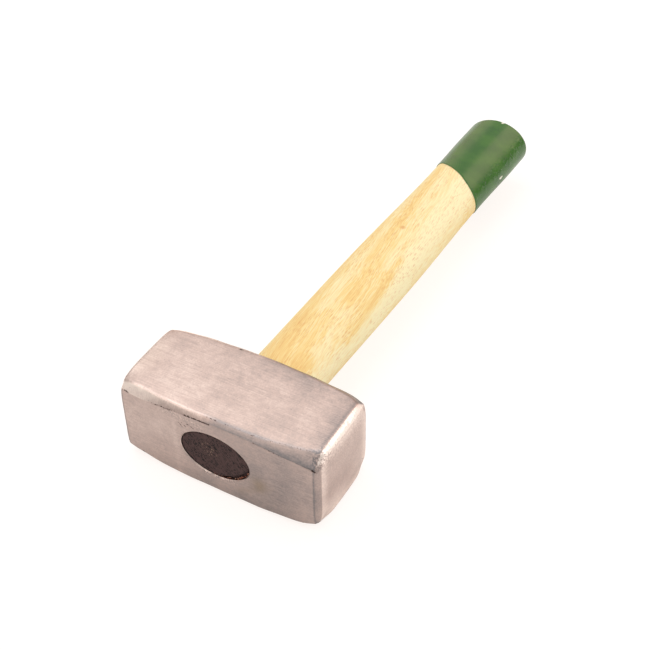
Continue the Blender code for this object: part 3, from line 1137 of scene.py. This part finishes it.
    def stations(self) -> list[tuple[float, float, float]]:
        """Lay out the rings of the +X half.

        Returns:
            Their place along the head, their inset and what their size is multiplied by.
        """
        rings = [(x, 0.0, 1.0) for x in spread(0.0, self.shoulder, self.ring_step)]
        for step in range(1, self.rim_steps + 1):
            share = step / self.rim_steps
            out = share + (math.sin(share * math.pi / 2) - share) * self.rim_bulge
            inset = share + (1 - math.cos(share * math.pi / 2) - share) * self.rim_bulge
            rings.append((self.shoulder + self.rim_setback * out, self.rim_inset * inset, 1.0))
        edge = self.length / 2 - self.crown
        for ring in range(1, self.crown_rings):
            share = 1 - ring / self.crown_rings
            x = self.length / 2 - (self.length / 2 - edge) * share**self.crown_power
            rings.append((x, self.rim_inset, share))
        return rings

    def ring(self, x: float, inset: float, size: float) -> list[tuple[float, float, float]]:
        """Give one ring of the head's skin.

        Args:
            x: The ring's place along the head.
            inset: How far it lies inside the head's full outline.
            size: What its width and height are then multiplied by.

        Returns:
            Its points in the shared frame.
        """
        points = []
        for y, z in self.outline(x, inset):
            cheek_leg, _ = self.legs(np.array(x), np.sign(y), np.sign(z))
            flat_edge = float(self.half_depth(x) - cheek_leg)
            roll = max(0.0, (abs(y) - flat_edge + self.roll_width) / self.roll_width)
            drop = self.cheek_roll * min(roll, 1.0) ** 2 * (abs(z) / (self.height / 2)) ** 8
            points.append((x, y * size, self.middle + (z - math.copysign(drop, z)) * size))
        return points

    def wear(self, places: np.ndarray) -> np.ndarray:
        """Give how far grinding and knocks take the surface in.

        Args:
            places: The places on the surface, one a row.

        Returns:
            The depth at each place.
        """
        x, y, z = places.T
        slow = self.grinding * (cloudy(places, 17 * MM) + 1) / 2
        near_cheek = eased(abs(z - self.middle), self.height / 2 - 3 * MM, self.height / 2)
        near_side = eased(abs(y) - self.half_depth(x), -5 * MM, -1 * MM)
        on_end = eased(abs(x), self.shoulder, self.shoulder + 1 * MM)
        left_rough = np.maximum(near_cheek * near_side, on_end)
        forged = self.forging * left_rough * (cloudy(places, 2.4 * MM) + 1) / 2
        return slow + forged + total(self.dents, places) * MM

    def eye_cutter(self) -> bpy.types.Object:
        """Make the space of the eye, with a small bevel at both mouths and a burr low on the front one.

        Returns:
            A cutter in the shared frame.
        """
        half = self.depth / 2
        outside = half + 1 * MM
        places = [-outside, -half, -half + self.eye_bevel, *spread(-half + 1 * MM, half - 1 * MM, 3 * MM)]
        places += [half - self.eye_bevel, half, outside]
        rings = []
        for y in places:
            width, height = FORM.eye(y)
            mouth = max(0.0, abs(y) - half + self.eye_bevel)
            ring = []
            for i, (x, _, z) in enumerate(oval(1.0, 1.0, 0.0, self.eye_sides)):
                turn = math.degrees(math.atan2(z, x))
                burr = max(0.0, 1 - abs(turn - self.burr_at) / self.burr_reach) if y < 0 and mouth else 0.0
                nick = self.burr_depth * burr * max(0.0, noise.noise(Vector((i * 0.63, 0.3, 0.1))))
                grow = mouth + nick + self.mouth_stray * noise.noise(Vector((i * 0.2, 0.0, 0.0)))
                across = FORM.eye_shift + y * math.tan(FORM.lean) + (width + grow) * x
                ring.append((across, y, self.middle + FORM.eye_rise + (height + grow) * z))
            rings.append(ring)
        return add_piece("eye_space", loft(rings))

    def spans(self, x: np.ndarray, spans: Iterable[tuple[float, float, float]]) -> np.ndarray:
        """Give the greatest strength of some spans.

        Args:
            x: The places along the head.
            spans: Where each span starts and stops, in millimetres, and its strength.

        Returns:
            The strength at each place.
        """
        strength = np.zeros(len(x))
        for start, stop, most in spans:
            inside = np.minimum(x / MM - start, stop - x / MM)
            strength = np.maximum(strength, most * np.clip(inside + 0.5, 0, 1))
        return strength

    def left_highlight(self, x: np.ndarray) -> np.ndarray:
        """Give the painted highlight on the upper front chamfer, which is strongest near the -X end."""
        return self.tone.left_chamfer_highlight + self.tone.left_end_highlight * eased(-x, 20 * MM, 42 * MM)

    def mark(self, piece: bpy.types.Object) -> None:
        """Store how the steel looks at each point: its tone with the painted light and shade, hatching,
        scale, stain and roughness.

        Args:
            piece: The head.
        """
        places = places_of(piece)
        x, y, z = places.T
        z = z - self.middle
        side, level = np.sign(y), np.sign(z)
        cheek_leg, side_leg = self.legs(x, side, level)
        half_depth, half_height = self.half_depth(x), self.height / 2
        cut = (half_height + half_depth - (cheek_leg + side_leg) / 2 - abs(z) - abs(y)) / math.sqrt(2)
        inset = np.clip(np.minimum(np.minimum(half_height - abs(z), half_depth - abs(y)), cut), 0, None)
        on_end = eased(abs(x), self.shoulder - 0.1 * MM, self.shoulder + 0.3 * MM)
        inset *= on_end
        on_face = on_end * eased(inset, self.rim_inset - 0.5 * MM, self.rim_inset)
        on_rim = on_end - on_face
        side_edge = abs(z) + inset - (half_height - side_leg)
        cheek_edge = abs(y) + inset - (half_depth - cheek_leg)
        chamfer = eased(side_edge, -0.1 * MM, 0.2 * MM) * eased(cheek_edge, -0.4 * MM, 0.4 * MM)
        top = eased(z, half_height - self.rim_inset - 3 * MM, half_height - self.rim_inset)
        front = eased(-y - half_depth, -self.rim_inset - 2 * MM, -self.rim_inset) * (1 - top)
        upper_front = (side < 0) & (level > 0)

        tone = total(self.tones, places)
        down = np.clip(cheek_edge / cheek_leg, 0, 1)  # from the cheek's border to the side's
        right = eased(x, -9 * MM, 3 * MM)
        # painted highlight and shade on the upper chamfers: lighter at the cheek's border, darker towards
        # the side's
        on_chamfer = chamfer * (1 - on_end) * (level > 0)
        left_tone = self.left_highlight(x) + self.tone.left_shade_fall * down
        right_tone = self.tone.right_chamfer + self.tone.right_shade_fall * down
        tone += on_chamfer * ((1 - right) * left_tone + right * right_tone)
        # painted shade in the crease along the upper front chamfer's cheek border, on the right
        crease = right * upper_front * fade(cheek_edge + 0.3 * MM, 0.8 * MM) * (1 - on_end)
        line = fade(abs(x) - self.shoulder, 0.35 * MM) * front
        # painted shade on the top beside the right rim
        beside = fade(x - self.shoulder + 0.9 * MM, 0.9 * MM) * (1 - on_end) * top
        tone += self.tone.right_crease_shade * crease + self.tone.rim_line * line + self.tone.rim_side_shade * beside
        # painted highlight on the top's rim
        tone += on_rim * (self.tone.top_rim_highlight * top + self.tone.front_rim * front)
        # painted highlight along the striking faces' borders
        tone += on_face * (self.tone.face + self.tone.face_border_highlight * eased(inset, 9 * MM, self.rim_inset))
        width, height = FORM.eye(-self.depth / 2)
        across = (x - FORM.eye_shift - y * math.tan(FORM.lean)) / (width + 0.1 * MM)
        up = (z - FORM.eye_rise) / (height + 0.1 * MM)
        inside = (across**2 + up**2 < 1) & (abs(x) < self.shoulder)
        bore = inside & (abs(y) < self.depth / 2 - self.eye_bevel)
        # painted shade in the eye's bore, whose wall is also dark unground steel, and a painted highlight on
        # the mouths' bevels
        tone = np.where(bore, self.tone.bore, tone + self.tone.mouth * inside)

        scale = total(self.scratches, places)
        low = fade(side_edge, 0.42 * MM) * self.spans(x, self.low_scale)
        high = fade(cheek_edge, 0.5 * MM) * self.spans(x, self.high_scale)
        scale += np.where(upper_front, np.maximum(low, high), self.other_scale * fade(side_edge, 0.4 * MM))
        paint(piece, "tone", tone)
        paint(piece, "hatched", chamfer * (1 - eased(x, *self.hatch_fade)))
        paint(piece, "scaled", scale * ~bore)
        paint(piece, "stained", total(self.stains, places))
        rough = on_rim * top * 1.4 + on_face * 0.5 * eased(z, 0.0, half_height)
        paint(piece, "rough", rough + total(self.rough_spots, places) * ~bore)

    def build(self) -> bpy.types.Object:
        """Make the head.

        Returns:
            The head, marked but not yet dressed.
        """
        half = self.stations()
        rings = [self.ring(-x, inset, size) for x, inset, size in reversed(half[1:])]
        rings += [self.ring(x, inset, size) for x, inset, size in half]
        shape = loft(rings)
        push(shape, self.wear(corners_of(shape)))
        head = add_piece("forged_head", shape)
        carve(head, self.eye_cutter(), self.sharp)
        self.mark(head)
        return head

    def dress(self, head: bpy.types.Object) -> None:
        """Give the head its finish."""
        head.data.materials.append(GroundForgedSteel().material())
        settle(head, Slot.STEEL, "head")


@dataclass
class OvalHandle:
    """The handle, with the kerf and the slot that its wedges fill."""

    sides: int = 128
    ring_step: float = 1.3 * MM
    round_steps: int = 6
    sharp: float = math.radians(40)
    sanding: float = 0.10 * MM  # depth of the slow waves that hand sanding leaves
    tenon_front: float = -FORM.half_depth + 2.4 * MM
    overcut: float = 4 * MM
    wood_wedge: tuple[float, ...] = (30 * MM, 34.6 * MM, 4.2 * MM, 1.4 * MM)  # length, width, mouth and tip
    steel_wedge: tuple[float, ...] = (19 * MM, 15 * MM, 3.0 * MM, 0.8 * MM)
    steel_wedge_turn: float = math.radians(55)
    wood_run_on: float = 2 * MM
    tones: Sequence[Patch | Streak] = (  # darker above zero, paler below; the paler streaks along both flanks are painted light
        Streak((-8.4, 200, 10), (-4.2, 145, 12), 2.8, 0.10),
        Streak((-4.2, 145, 12), (4.6, 78, 13), 4.0, 0.06),
        Streak((10.6, 121, 10), (15, 62, 6), 2.0, 0.16),
        Streak((6, 200, 12), (13, 118, 8), 8.0, -0.15),
        # painted light: paler along the left flank
        Streak((-16, 190, 0), (-16, 60, 0), 3.5, -0.16),
        Streak((5, 76, 12), (9, 44, 10), 4.0, -0.14),
        Streak((-6, 60, 12), (0, 24, 12), 9.0, 0.12),
        # painted light: paler along the right flank, low down
        Streak((17, 112, 4), (17, 30, 4), 6.0, -0.20),
    )

    def wedge_space(self, sizes: Sequence[float], run_on: float, turn: float) -> bpy.types.Object:
        """Make the space of a wedge.

        Args:
            sizes: The wedge's length, width, mouth and tip.
            run_on: How far the space runs on past the tip.
            turn: Its turn round the handle's axis.

        Returns:
            A cutter in the handle's frame.
        """
        length, width, mouth, tip = sizes
        slope = (mouth - tip) / length
        shape = bmesh.new()
        bmesh.ops.create_cube(shape, size=1.0)
        for corner in shape.verts:
            ahead = self.overcut if corner.co.y < 0 else -length - run_on
            corner.co.x *= width + 2 * FORM.fit_gap
            corner.co.z *= mouth + slope * ahead + 2 * FORM.fit_gap
            corner.co.y = self.tenon_front - ahead
        bmesh.ops.rotate(shape, matrix=Matrix.Rotation(-turn, 3, "Y"), verts=shape.verts)
        return add_piece("wedge_space", shape, FORM.matrix())

    def build(self) -> bpy.types.Object:
        """Make the handle.

        Returns:
            The handle with the spaces of its wedges.
        """
        straight = FORM.reach - FORM.end_round
        stations = spread(self.tenon_front, straight, self.ring_step)
        rings = [oval(*FORM.wood(y), y, self.sides) for y in stations]
        width, height = FORM.wood(FORM.reach)
        for y, inset in FORM.rounded_end(0.0, self.round_steps):
            rings.append(oval(width - inset, height - inset, y, self.sides))
        shape = loft(rings)
        places = corners_of(shape)
        waves = self.sanding * (cloudy(places, (9 * MM, 45 * MM, 9 * MM)) + 1) / 2
        push(shape, waves * eased(places[:, 1], FORM.half_depth, FORM.half_depth + 5 * MM))
        handle = add_piece("rubberwood_handle", shape, FORM.matrix())
        carve(handle, self.wedge_space(self.wood_wedge, self.wood_run_on, 0.0), self.sharp)
        carve(handle, self.wedge_space(self.steel_wedge, FORM.fit_gap, self.steel_wedge_turn), self.sharp)
        return handle

    def dress(self, handle: bpy.types.Object) -> None:
        """Mark the wood's bands and the painted light along its flanks, and give the handle its finish.

        Args:
            handle: The handle.
        """
        paint(handle, "tone", total(self.tones, places_of(handle)))
        handle.data.materials.append(Rubberwood().material())
        settle(handle, Slot.WOOD, "handle")


@dataclass
class DipCoat:
    """The enamel cup over the handle's end, thickest in the bead along its slanted edge."""

    length: float = 54.3 * MM
    slant: float = math.radians(29.4)
    tilt: float = math.radians(6.5)
    thickness: float = 0.20 * MM
    gap: float = 0.07 * MM
    bead: float = 0.05 * MM
    bead_width: float = 1.4 * MM
    waver: float = 0.30 * MM  # how far the edge strays from a plane
    sides: int = 192
    ring_step: float = 0.6 * MM
    round_steps: int = 8
    lip_steps: int = 4
    end_rings: int = 12
    nib_count: int = 22
    nib_sides: tuple[float, float] = (0.25, 0.62)  # angles from +X up to +Z between which the nibs stand
    sag: float = 0.04 * MM  # depth of the slow waves in the film
    chip_depth: float = 0.2  # in millimetres
    chips: Sequence[Patch] = (
        Patch((2.0, 254.0, 13.2), (1.1, 1.2, 0.9), 1.0),
        Patch((17.2, 222.1, 1.0), (0.9, 2.1, 0.8), 1.0),
    )

    def edge(self, place: tuple[float, float, float]) -> float:
        """Give where the coat starts along the axis.

        Args:
            place: A place on its section.

        Returns:
            The start at that side of the handle.
        """
        x, _, z = place
        stray = wander(math.atan2(z, x), 0.4, 3.1) + 0.4 * wander(math.atan2(z, x), 0.12, 7.7)
        line = FORM.reach - self.length
        return line - x * math.tan(self.slant) - z * math.tan(self.tilt) + self.waver * stray

    def skin(self, outer: bool) -> list[list[tuple[float, float, float]]]:
        """Give the rings of one side of the coat.

        Args:
            outer: Whether this is the outside, which has the bead and the rounded lip.

        Returns:
            Rings from the edge to the middle of the end.
        """
        last = FORM.reach - FORM.end_round
        line = FORM.reach - self.length
        starts = [self.edge(point) for point in oval(*FORM.wood(line), line, self.sides)]
        turns = [math.pi / 2 * i / self.lip_steps for i in range(self.lip_steps)]
        lip = [self.thickness * (1 - math.cos(turn)) for turn in turns]
        steps = len(spread(line, last, self.ring_step))
        shares = [0.0] * len(lip) + [step / steps for step in range(steps + 1)]
        insets = lip + [self.thickness] * (steps + 1)
        rings = []
        for share, onward in zip(shares, insets):
            ring = []
            for i, start in enumerate(starts):
                y = start + onward + (last - start - self.thickness) * share
                width, height = FORM.wood(y)
                proud = self.gap
                if outer:
                    rise = math.sqrt(max(0.0, 1 - (1 - onward / self.thickness) ** 2))
                    run = (y - start) / self.bead_width
                    proud += self.thickness * rise + self.bead * run * math.exp(1 - run)
                ring.append(oval(width + proud, height + proud, y, self.sides)[i])
            rings.append(ring)
        proud = self.gap + (self.thickness if outer else 0.0)
        width, height = FORM.wood(FORM.reach)
        for y, inset in FORM.rounded_end(proud, self.round_steps):
            rings.append(oval(width - inset, height - inset, y, self.sides))
        flat = rings[-1]
        for ring in range(1, self.end_rings):
            share = 1 - ring / self.end_rings
            rings.append([(x * share, y, z * share) for x, y, z in flat])
        return rings

    def nibs(self) -> list[Patch]:
        """Scatter the larger dust nibs.

        Returns:
            The nibs, whose strength is their height in millimetres.
        """
        draw = random.Random(11)
        nibs = []
        for _ in range(self.nib_count):
            turn = draw.uniform(*self.nib_sides)
            y = draw.uniform(FORM.reach - self.length + 2 * MM, FORM.reach - 6 * MM)
            width, height = FORM.wood(y)
            size = draw.uniform(0.7, 1.0)
            place = (width * math.cos(turn) / MM, y / MM, height * math.sin(turn) / MM)
            nibs.append(Patch(place, (size, size, size), draw.uniform(0.12, 0.26)))
        return nibs

    def build(self) -> bpy.types.Object:
        """Make the coat: the outside, then the inside, joined round the lip.

        Returns:
            The coat.
        """
        outside = list(reversed(self.skin(outer=True)))
        shape = loft(outside + self.skin(outer=False))
        places = corners_of(shape)
        slow = self.sag * (cloudy(places, (7 * MM, 16 * MM, 7 * MM)) + 1) / 2
        relief = slow + (total(self.chips, places) * self.chip_depth - total(self.nibs(), places)) * MM
        index = np.arange(len(places))
        flat_end = places[:, 1] > FORM.reach - 0.1 * MM
        push(shape, np.where((index < len(outside) * self.sides) & ~flat_end, relief, 0.0))
        return add_piece("enamel_coat", shape, FORM.matrix())

    def dress(self, coat: bpy.types.Object) -> None:
        """Mark the nibs' side and the chips, and give the coat its finish.

        Args:
            coat: The coat.
        """
        places = places_of(coat)
        turn = np.arctan2(places[:, 2], places[:, 0])
        start, stop = self.nib_sides
        paint(coat, "nibs", np.clip(1.5 - abs(turn - (start + stop) / 2) / (stop - start) * 2, 0, 1))
        paint(coat, "chip", eased(total(self.chips, places), 0.45, 0.6))
        coat.data.materials.append(DippedEnamel().material())
        settle(coat, Slot.ENAMEL, "dip_coat")


@dataclass
class EyeSeal:
    """The dark seal over the tenon, torn away from the eye low on the right, with crumbs in the gap."""

    recess: float = 0.6 * MM
    back: float = 2.1 * MM  # how deep behind the eye face the seal ends
    edge: float = 0.4 * MM
    sides: int = 144
    rings: int = 32
    torn_at: float = math.radians(-40)  # the middle of the torn stretch, from +X
    torn_reach: float = math.radians(42)
    torn_depth: float = 2.0 * MM
    saw_mark: tuple[float, float] = (0.9 * MM, 9 * MM)  # width and length
    saw_depth: float = 0.08 * MM
    lump: float = 3.5 * MM
    lump_height: float = 0.14 * MM
    crumb_count: int = 70
    crumb_size: tuple[float, float] = (0.12, 0.34)  # in millimetres
    foremost: float = -FORM.half_depth + 0.15 * MM  # nothing may stand out of the eye beyond this

    def torn(self, turn: float) -> float:
        """Give how far the seal has drawn back from the eye.

        Args:
            turn: The angle from +X up to +Z.

        Returns:
            The gap that it left there.
        """
        away = abs(turn - self.torn_at) / self.torn_reach
        tear = max(0.0, 1 - away * away) * self.torn_depth
        return tear * (1 + 0.35 * wander(turn, 0.1, 2.0)) + 0.08 * MM * (1 + wander(turn, 0.12, 5.0))

    def outline(self, y: float, inset: float, torn: bool = True) -> list[tuple[float, float, float]]:
        """Give the seal's outline.

        Args:
            y: The place along the axis.
            inset: How far it lies inside the full outline.
            torn: Whether it is torn away there.

        Returns:
            Its points, from +X up to +Z and round.
        """
        width, height = FORM.eye(y)
        points = []
        for x, _, z in oval(1.0, 1.0, y, self.sides):
            back = FORM.fit_gap / 2 + inset + (self.torn(math.atan2(z, x)) if torn else 0.0)
            points.append(((width - back) * x, y, (height - back) * z))
        return points

    def surface(self, x: float, z: float) -> float:
        """Give how far the sawn and brushed surface strays.

        The handle was sawn off level with the eye face, so this surface is square to the head.

        Args:
            x: The place across the eye.
            z: The place up the eye.

        Returns:
            How far it strays along the axis.
        """
        width, run = self.saw_mark
        marks = noise.noise(Vector(((x + 0.8 * z) / width, (z - 0.8 * x) / run, 0.0)))
        lumps = noise.noise(Vector((x / self.lump, z / self.lump, 4.0)))
        return x * math.tan(FORM.lean) + self.saw_depth * marks + self.lump_height * lumps

    def build(self) -> bpy.types.Object:
        """Make the seal.

        Returns:
            The seal.
        """
        front = -FORM.half_depth + self.recess
        back = -FORM.half_depth + self.back
        rings = [self.outline(back, 0.0, False), self.outline(back - self.edge, 0.0, False)]
        rings.append(self.outline(back - self.edge, 0.0))
        rim = self.outline(front + self.edge, 0.0)
        rings.append([(x, y + x * math.tan(FORM.lean), z) for x, y, z in rim])
        face = self.outline(front, self.edge)
        for ring in range(self.rings):
            share = 1 - ring / self.rings
            level = front if ring else front + 0.1 * MM
            inner = [(x * share, z * share) for x, _, z in face]
            rings.append([(x, level + self.surface(x, z), z) for x, z in inner])
        return straighten(add_piece("eye_seal_paint", loft(rings), FORM.matrix()))

    def crumbs(self) -> bpy.types.Object:
        """Make the crumbs in the gap beside the seal.

        Returns:
            All crumbs as one piece.
        """
        draw = random.Random(5)
        shape = bmesh.new()
        front = -FORM.half_depth + self.recess
        width, height = FORM.eye(front)
        for _ in range(self.crumb_count):
            turn = self.torn_at + draw.uniform(-1.35, 0.75) * self.torn_reach
            size = draw.uniform(*self.crumb_size) * MM
            back = size + draw.uniform(0.0, 0.6) * max(self.torn(turn) - 2 * size, 0.0)
            place = Vector(((width - back) * math.cos(turn), 0.0, (height - back) * math.sin(turn)))
            place.y = front + draw.uniform(0.1, 0.7) * MM
            made = bmesh.ops.create_icosphere(shape, subdivisions=2, radius=size)["verts"]
            stretch = Vector([draw.uniform(0.6, 1.3) for _ in range(3)])
            for corner in made:
                bulge = 1 + 0.7 * noise.noise(corner.co / (0.3 * MM) + place * 900)
                corner.co = place + corner.co * stretch * bulge
                corner.co.y = max(corner.co.y, self.foremost + corner.co.x * math.tan(FORM.lean))
        return straighten(add_piece("eye_crumbs", shape, FORM.matrix()))

    def dress(self, seal: bpy.types.Object, crumbs: bpy.types.Object) -> None:
        """Give the seal and its crumbs their finishes.

        Args:
            seal: The seal.
            crumbs: The crumbs.
        """
        seal.data.materials.append(PitchSeal().material())
        settle(seal, Slot.SEAL, "eye_seal")
        crumbs.data.materials.append(RustyCrumb().material())
        settle(crumbs, Slot.SEAL)


@dataclass
class HiddenWedges:
    """The two wedges inside the tenon, whose plain nodes have the right shape and only need a finish."""

    finishes: Sequence[tuple[str, Finish]] = (("wood_wedge", WedgeBeech()), ("steel_wedge", WedgeSteel()))

    def dress(self) -> None:
        """Give both wedges their finishes."""
        for name, finish in self.finishes:
            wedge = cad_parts[name]
            wedge.data.materials.clear()
            wedge.data.materials.append(finish.material())
            log.info("%s: %s", name, finish.name)


# Studio


@dataclass(frozen=True)
class Softbox:
    """A square lamp that shines at a point."""

    name: str
    place: tuple[float, float, float]
    aim: tuple[float, float, float]
    size: float
    power: float
    colour: str = "#FFFFFF"

    def build(self) -> None:
        """Make the lamp and aim it."""
        lamp = bpy.data.lights.new(self.name, "AREA")
        lamp.shape = "SQUARE"
        lamp.size = self.size
        lamp.energy = self.power
        lamp.color = linear(self.colour)[:3]
        item = bpy.data.objects.new(self.name, lamp)
        item.location = self.place
        item.rotation_euler = (Vector(self.aim) - Vector(self.place)).to_track_quat("-Z", "Y").to_euler()
        bpy.context.scene.collection.objects.link(item)


@dataclass
class Studio:
    """A white sweep, soft lamps and the camera of the photograph."""

    camera_place: tuple[float, float, float] = (218.74 * MM, -302.43 * MM, 410.77 * MM)
    camera_turn: float = math.radians(30.329)  # round the vertical, to the left
    camera_drop: float = math.radians(41.790)
    camera_roll: float = math.radians(-1.0505)
    lens: float = 68.208
    sensor: float = 36.0
    floor_size: float = 1.4
    floor_place: tuple[float, float, float] = (0.0, 0.12, 0.0)
    floor_bounce: str = "#E6E6E6"  # what the floor throws back at the hammer
    floor_seen: str = "#7E878B"  # the part of its colour that a shadow takes away, where the camera sees it
    floor_glow: str = "#FFF7F2"  # the part that a shadow leaves
    glow_seen: float = 0.90
    glow_mirrored: float = 0.28  # light that the floor adds where steel or enamel mirrors it
    surround: float = 0.56  # strength of the surround's light on the object
    horizon: float = 0.25  # strength of the dark band near the horizon that steel and enamel mirror
    overhead: float = 1.15
    band: tuple[float, float] = (0.12, 0.75)  # heights, on a unit sphere, between which that band fades out
    softboxes: Sequence[Softbox] = (
        Softbox("top_softbox", (-0.35, 0.10, 1.15), (0.0, 0.08, 0.0), 0.9, 5.0),
        Softbox("back_softbox", (0.36, 1.15, 0.62), (0.0, 0.2, 0.0), 0.72, 2.7, "#FFD6C4"),
        Softbox("right_softbox", (1.05, 0.50, 0.42), (0.03, 0.08, 0.03), 0.6, 3.0),
        Softbox("front_softbox", (-0.55, -0.85, 0.70), (-0.02, 0.0, 0.04), 0.6, 1.4, "#FFEFE4"),
        Softbox("left_softbox", (-0.80, 1.10, 0.32), (0.0, 0.2, 0.02), 0.7, 1.2, "#FFE0C8"),
    )

    def seen(self, tree: bpy.types.NodeTree) -> tuple[bpy.types.NodeSocket, bpy.types.Node]:
        """Tell the camera's own rays from the rays that steel, enamel or glass mirror or pass on.

        Args:
            tree: The nodes that need to know.

        Returns:
            What is 1 for the camera's rays, and what is 1 for mirrored ones.
        """
        path = add_node(tree, "LightPath")
        either = {0: path.outputs["Is Glossy Ray"], 1: path.outputs["Is Transmission Ray"]}
        return path.outputs["Is Camera Ray"], add_node(tree, "Math", either, operation="MAXIMUM")

    def build_world(self) -> None:
        """Make the surround: white where it is seen, dark low down where it is mirrored, and a dim light."""
        world = bpy.data.worlds.new("white_surround")
        bpy.context.scene.world = world
        world.use_nodes = True
        tree = world.node_tree
        camera, mirrored = self.seen(tree)
        way = add_node(tree, "TexCoord").outputs["Generated"]
        height = add_node(tree, "SeparateXYZ", {0: way}).outputs["Z"]
        low, high = self.band
        sky = add_node(tree, "MapRange", {0: height, 1: low, 2: high, 3: self.horizon, 4: self.overhead})
        light = add_node(tree, "Mix", {"Factor": mirrored, "A": self.surround, "B": sky.outputs[0]})
        strength = add_node(tree, "Mix", {"Factor": camera, "A": light.outputs[0], "B": 1.0})
        tree.links.new(strength.outputs[0], tree.nodes["Background"].inputs["Strength"])
        tree.nodes["Background"].inputs["Color"].default_value = (1.0, 1.0, 1.0, 1.0)

    def build_floor(self) -> None:
        """Make the white floor, which keeps the hammer's contact shadow."""
        bpy.ops.mesh.primitive_plane_add(size=self.floor_size, location=self.floor_place)
        floor = bpy.context.object
        floor.name = "floor"
        material = bpy.data.materials.new("white_paper")
        material.use_nodes = True
        tree = material.node_tree
        tree.nodes.remove(tree.nodes["Principled BSDF"])
        camera, mirrored = self.seen(tree)
        bounce = {"Factor": camera, "A": linear(self.floor_bounce), "B": linear(self.floor_seen)}
        colour = add_node(tree, "Mix", bounce, data_type="RGBA").outputs["Result"]
        paper = add_node(tree, "BsdfDiffuse", {"Color": colour})
        in_view = add_node(tree, "Math", {0: camera, 1: self.glow_seen}, operation="MULTIPLY")
        strength = {0: mirrored, 1: self.glow_mirrored, 2: in_view}
        added = add_node(tree, "Math", strength, operation="MULTIPLY_ADD")
        glow = add_node(tree, "Emission", {"Color": linear(self.floor_glow), "Strength": added})
        both = add_node(tree, "AddShader", {0: paper, 1: glow})
        tree.links.new(both.outputs[0], tree.nodes["Material Output"].inputs["Surface"])
        floor.data.materials.append(material)

    def build_camera(self) -> None:
        """Make the camera and make it the scene's."""
        lens = bpy.data.cameras.new("camera")
        lens.lens = self.lens
        lens.sensor_width = self.sensor
        camera = bpy.data.objects.new("camera", lens)
        turn = Matrix.Rotation(self.camera_turn, 4, "Z")
        drop = Matrix.Rotation(math.pi / 2 - self.camera_drop, 4, "X")
        roll = Matrix.Rotation(self.camera_roll, 4, "Z")
        camera.matrix_world = Matrix.Translation(self.camera_place) @ turn @ drop @ roll
        bpy.context.scene.collection.objects.link(camera)
        bpy.context.scene.camera = camera

    def build(self) -> None:
        """Set up the whole studio."""
        bpy.context.scene.view_settings.view_transform = "Standard"
        self.build_world()
        self.build_floor()
        self.build_camera()
        for softbox in self.softboxes:
            softbox.build()
        log.info("studio: %d softboxes", len(self.softboxes))


def main() -> None:
    """Build and dress the hammer, piece by piece, and set it in the studio."""
    logging.basicConfig(level=logging.INFO, format="%(name)s: %(message)s")
    Studio().build()

    forged_head = ForgedHead()
    forged_head.dress(forged_head.build())

    oval_handle = OvalHandle()
    oval_handle.dress(oval_handle.build())

    dip_coat = DipCoat()
    dip_coat.dress(dip_coat.build())

    eye_seal = EyeSeal()
    eye_seal.dress(eye_seal.build(), eye_seal.crumbs())

    HiddenWedges().dress()


if __name__ == "__main__":
    main()
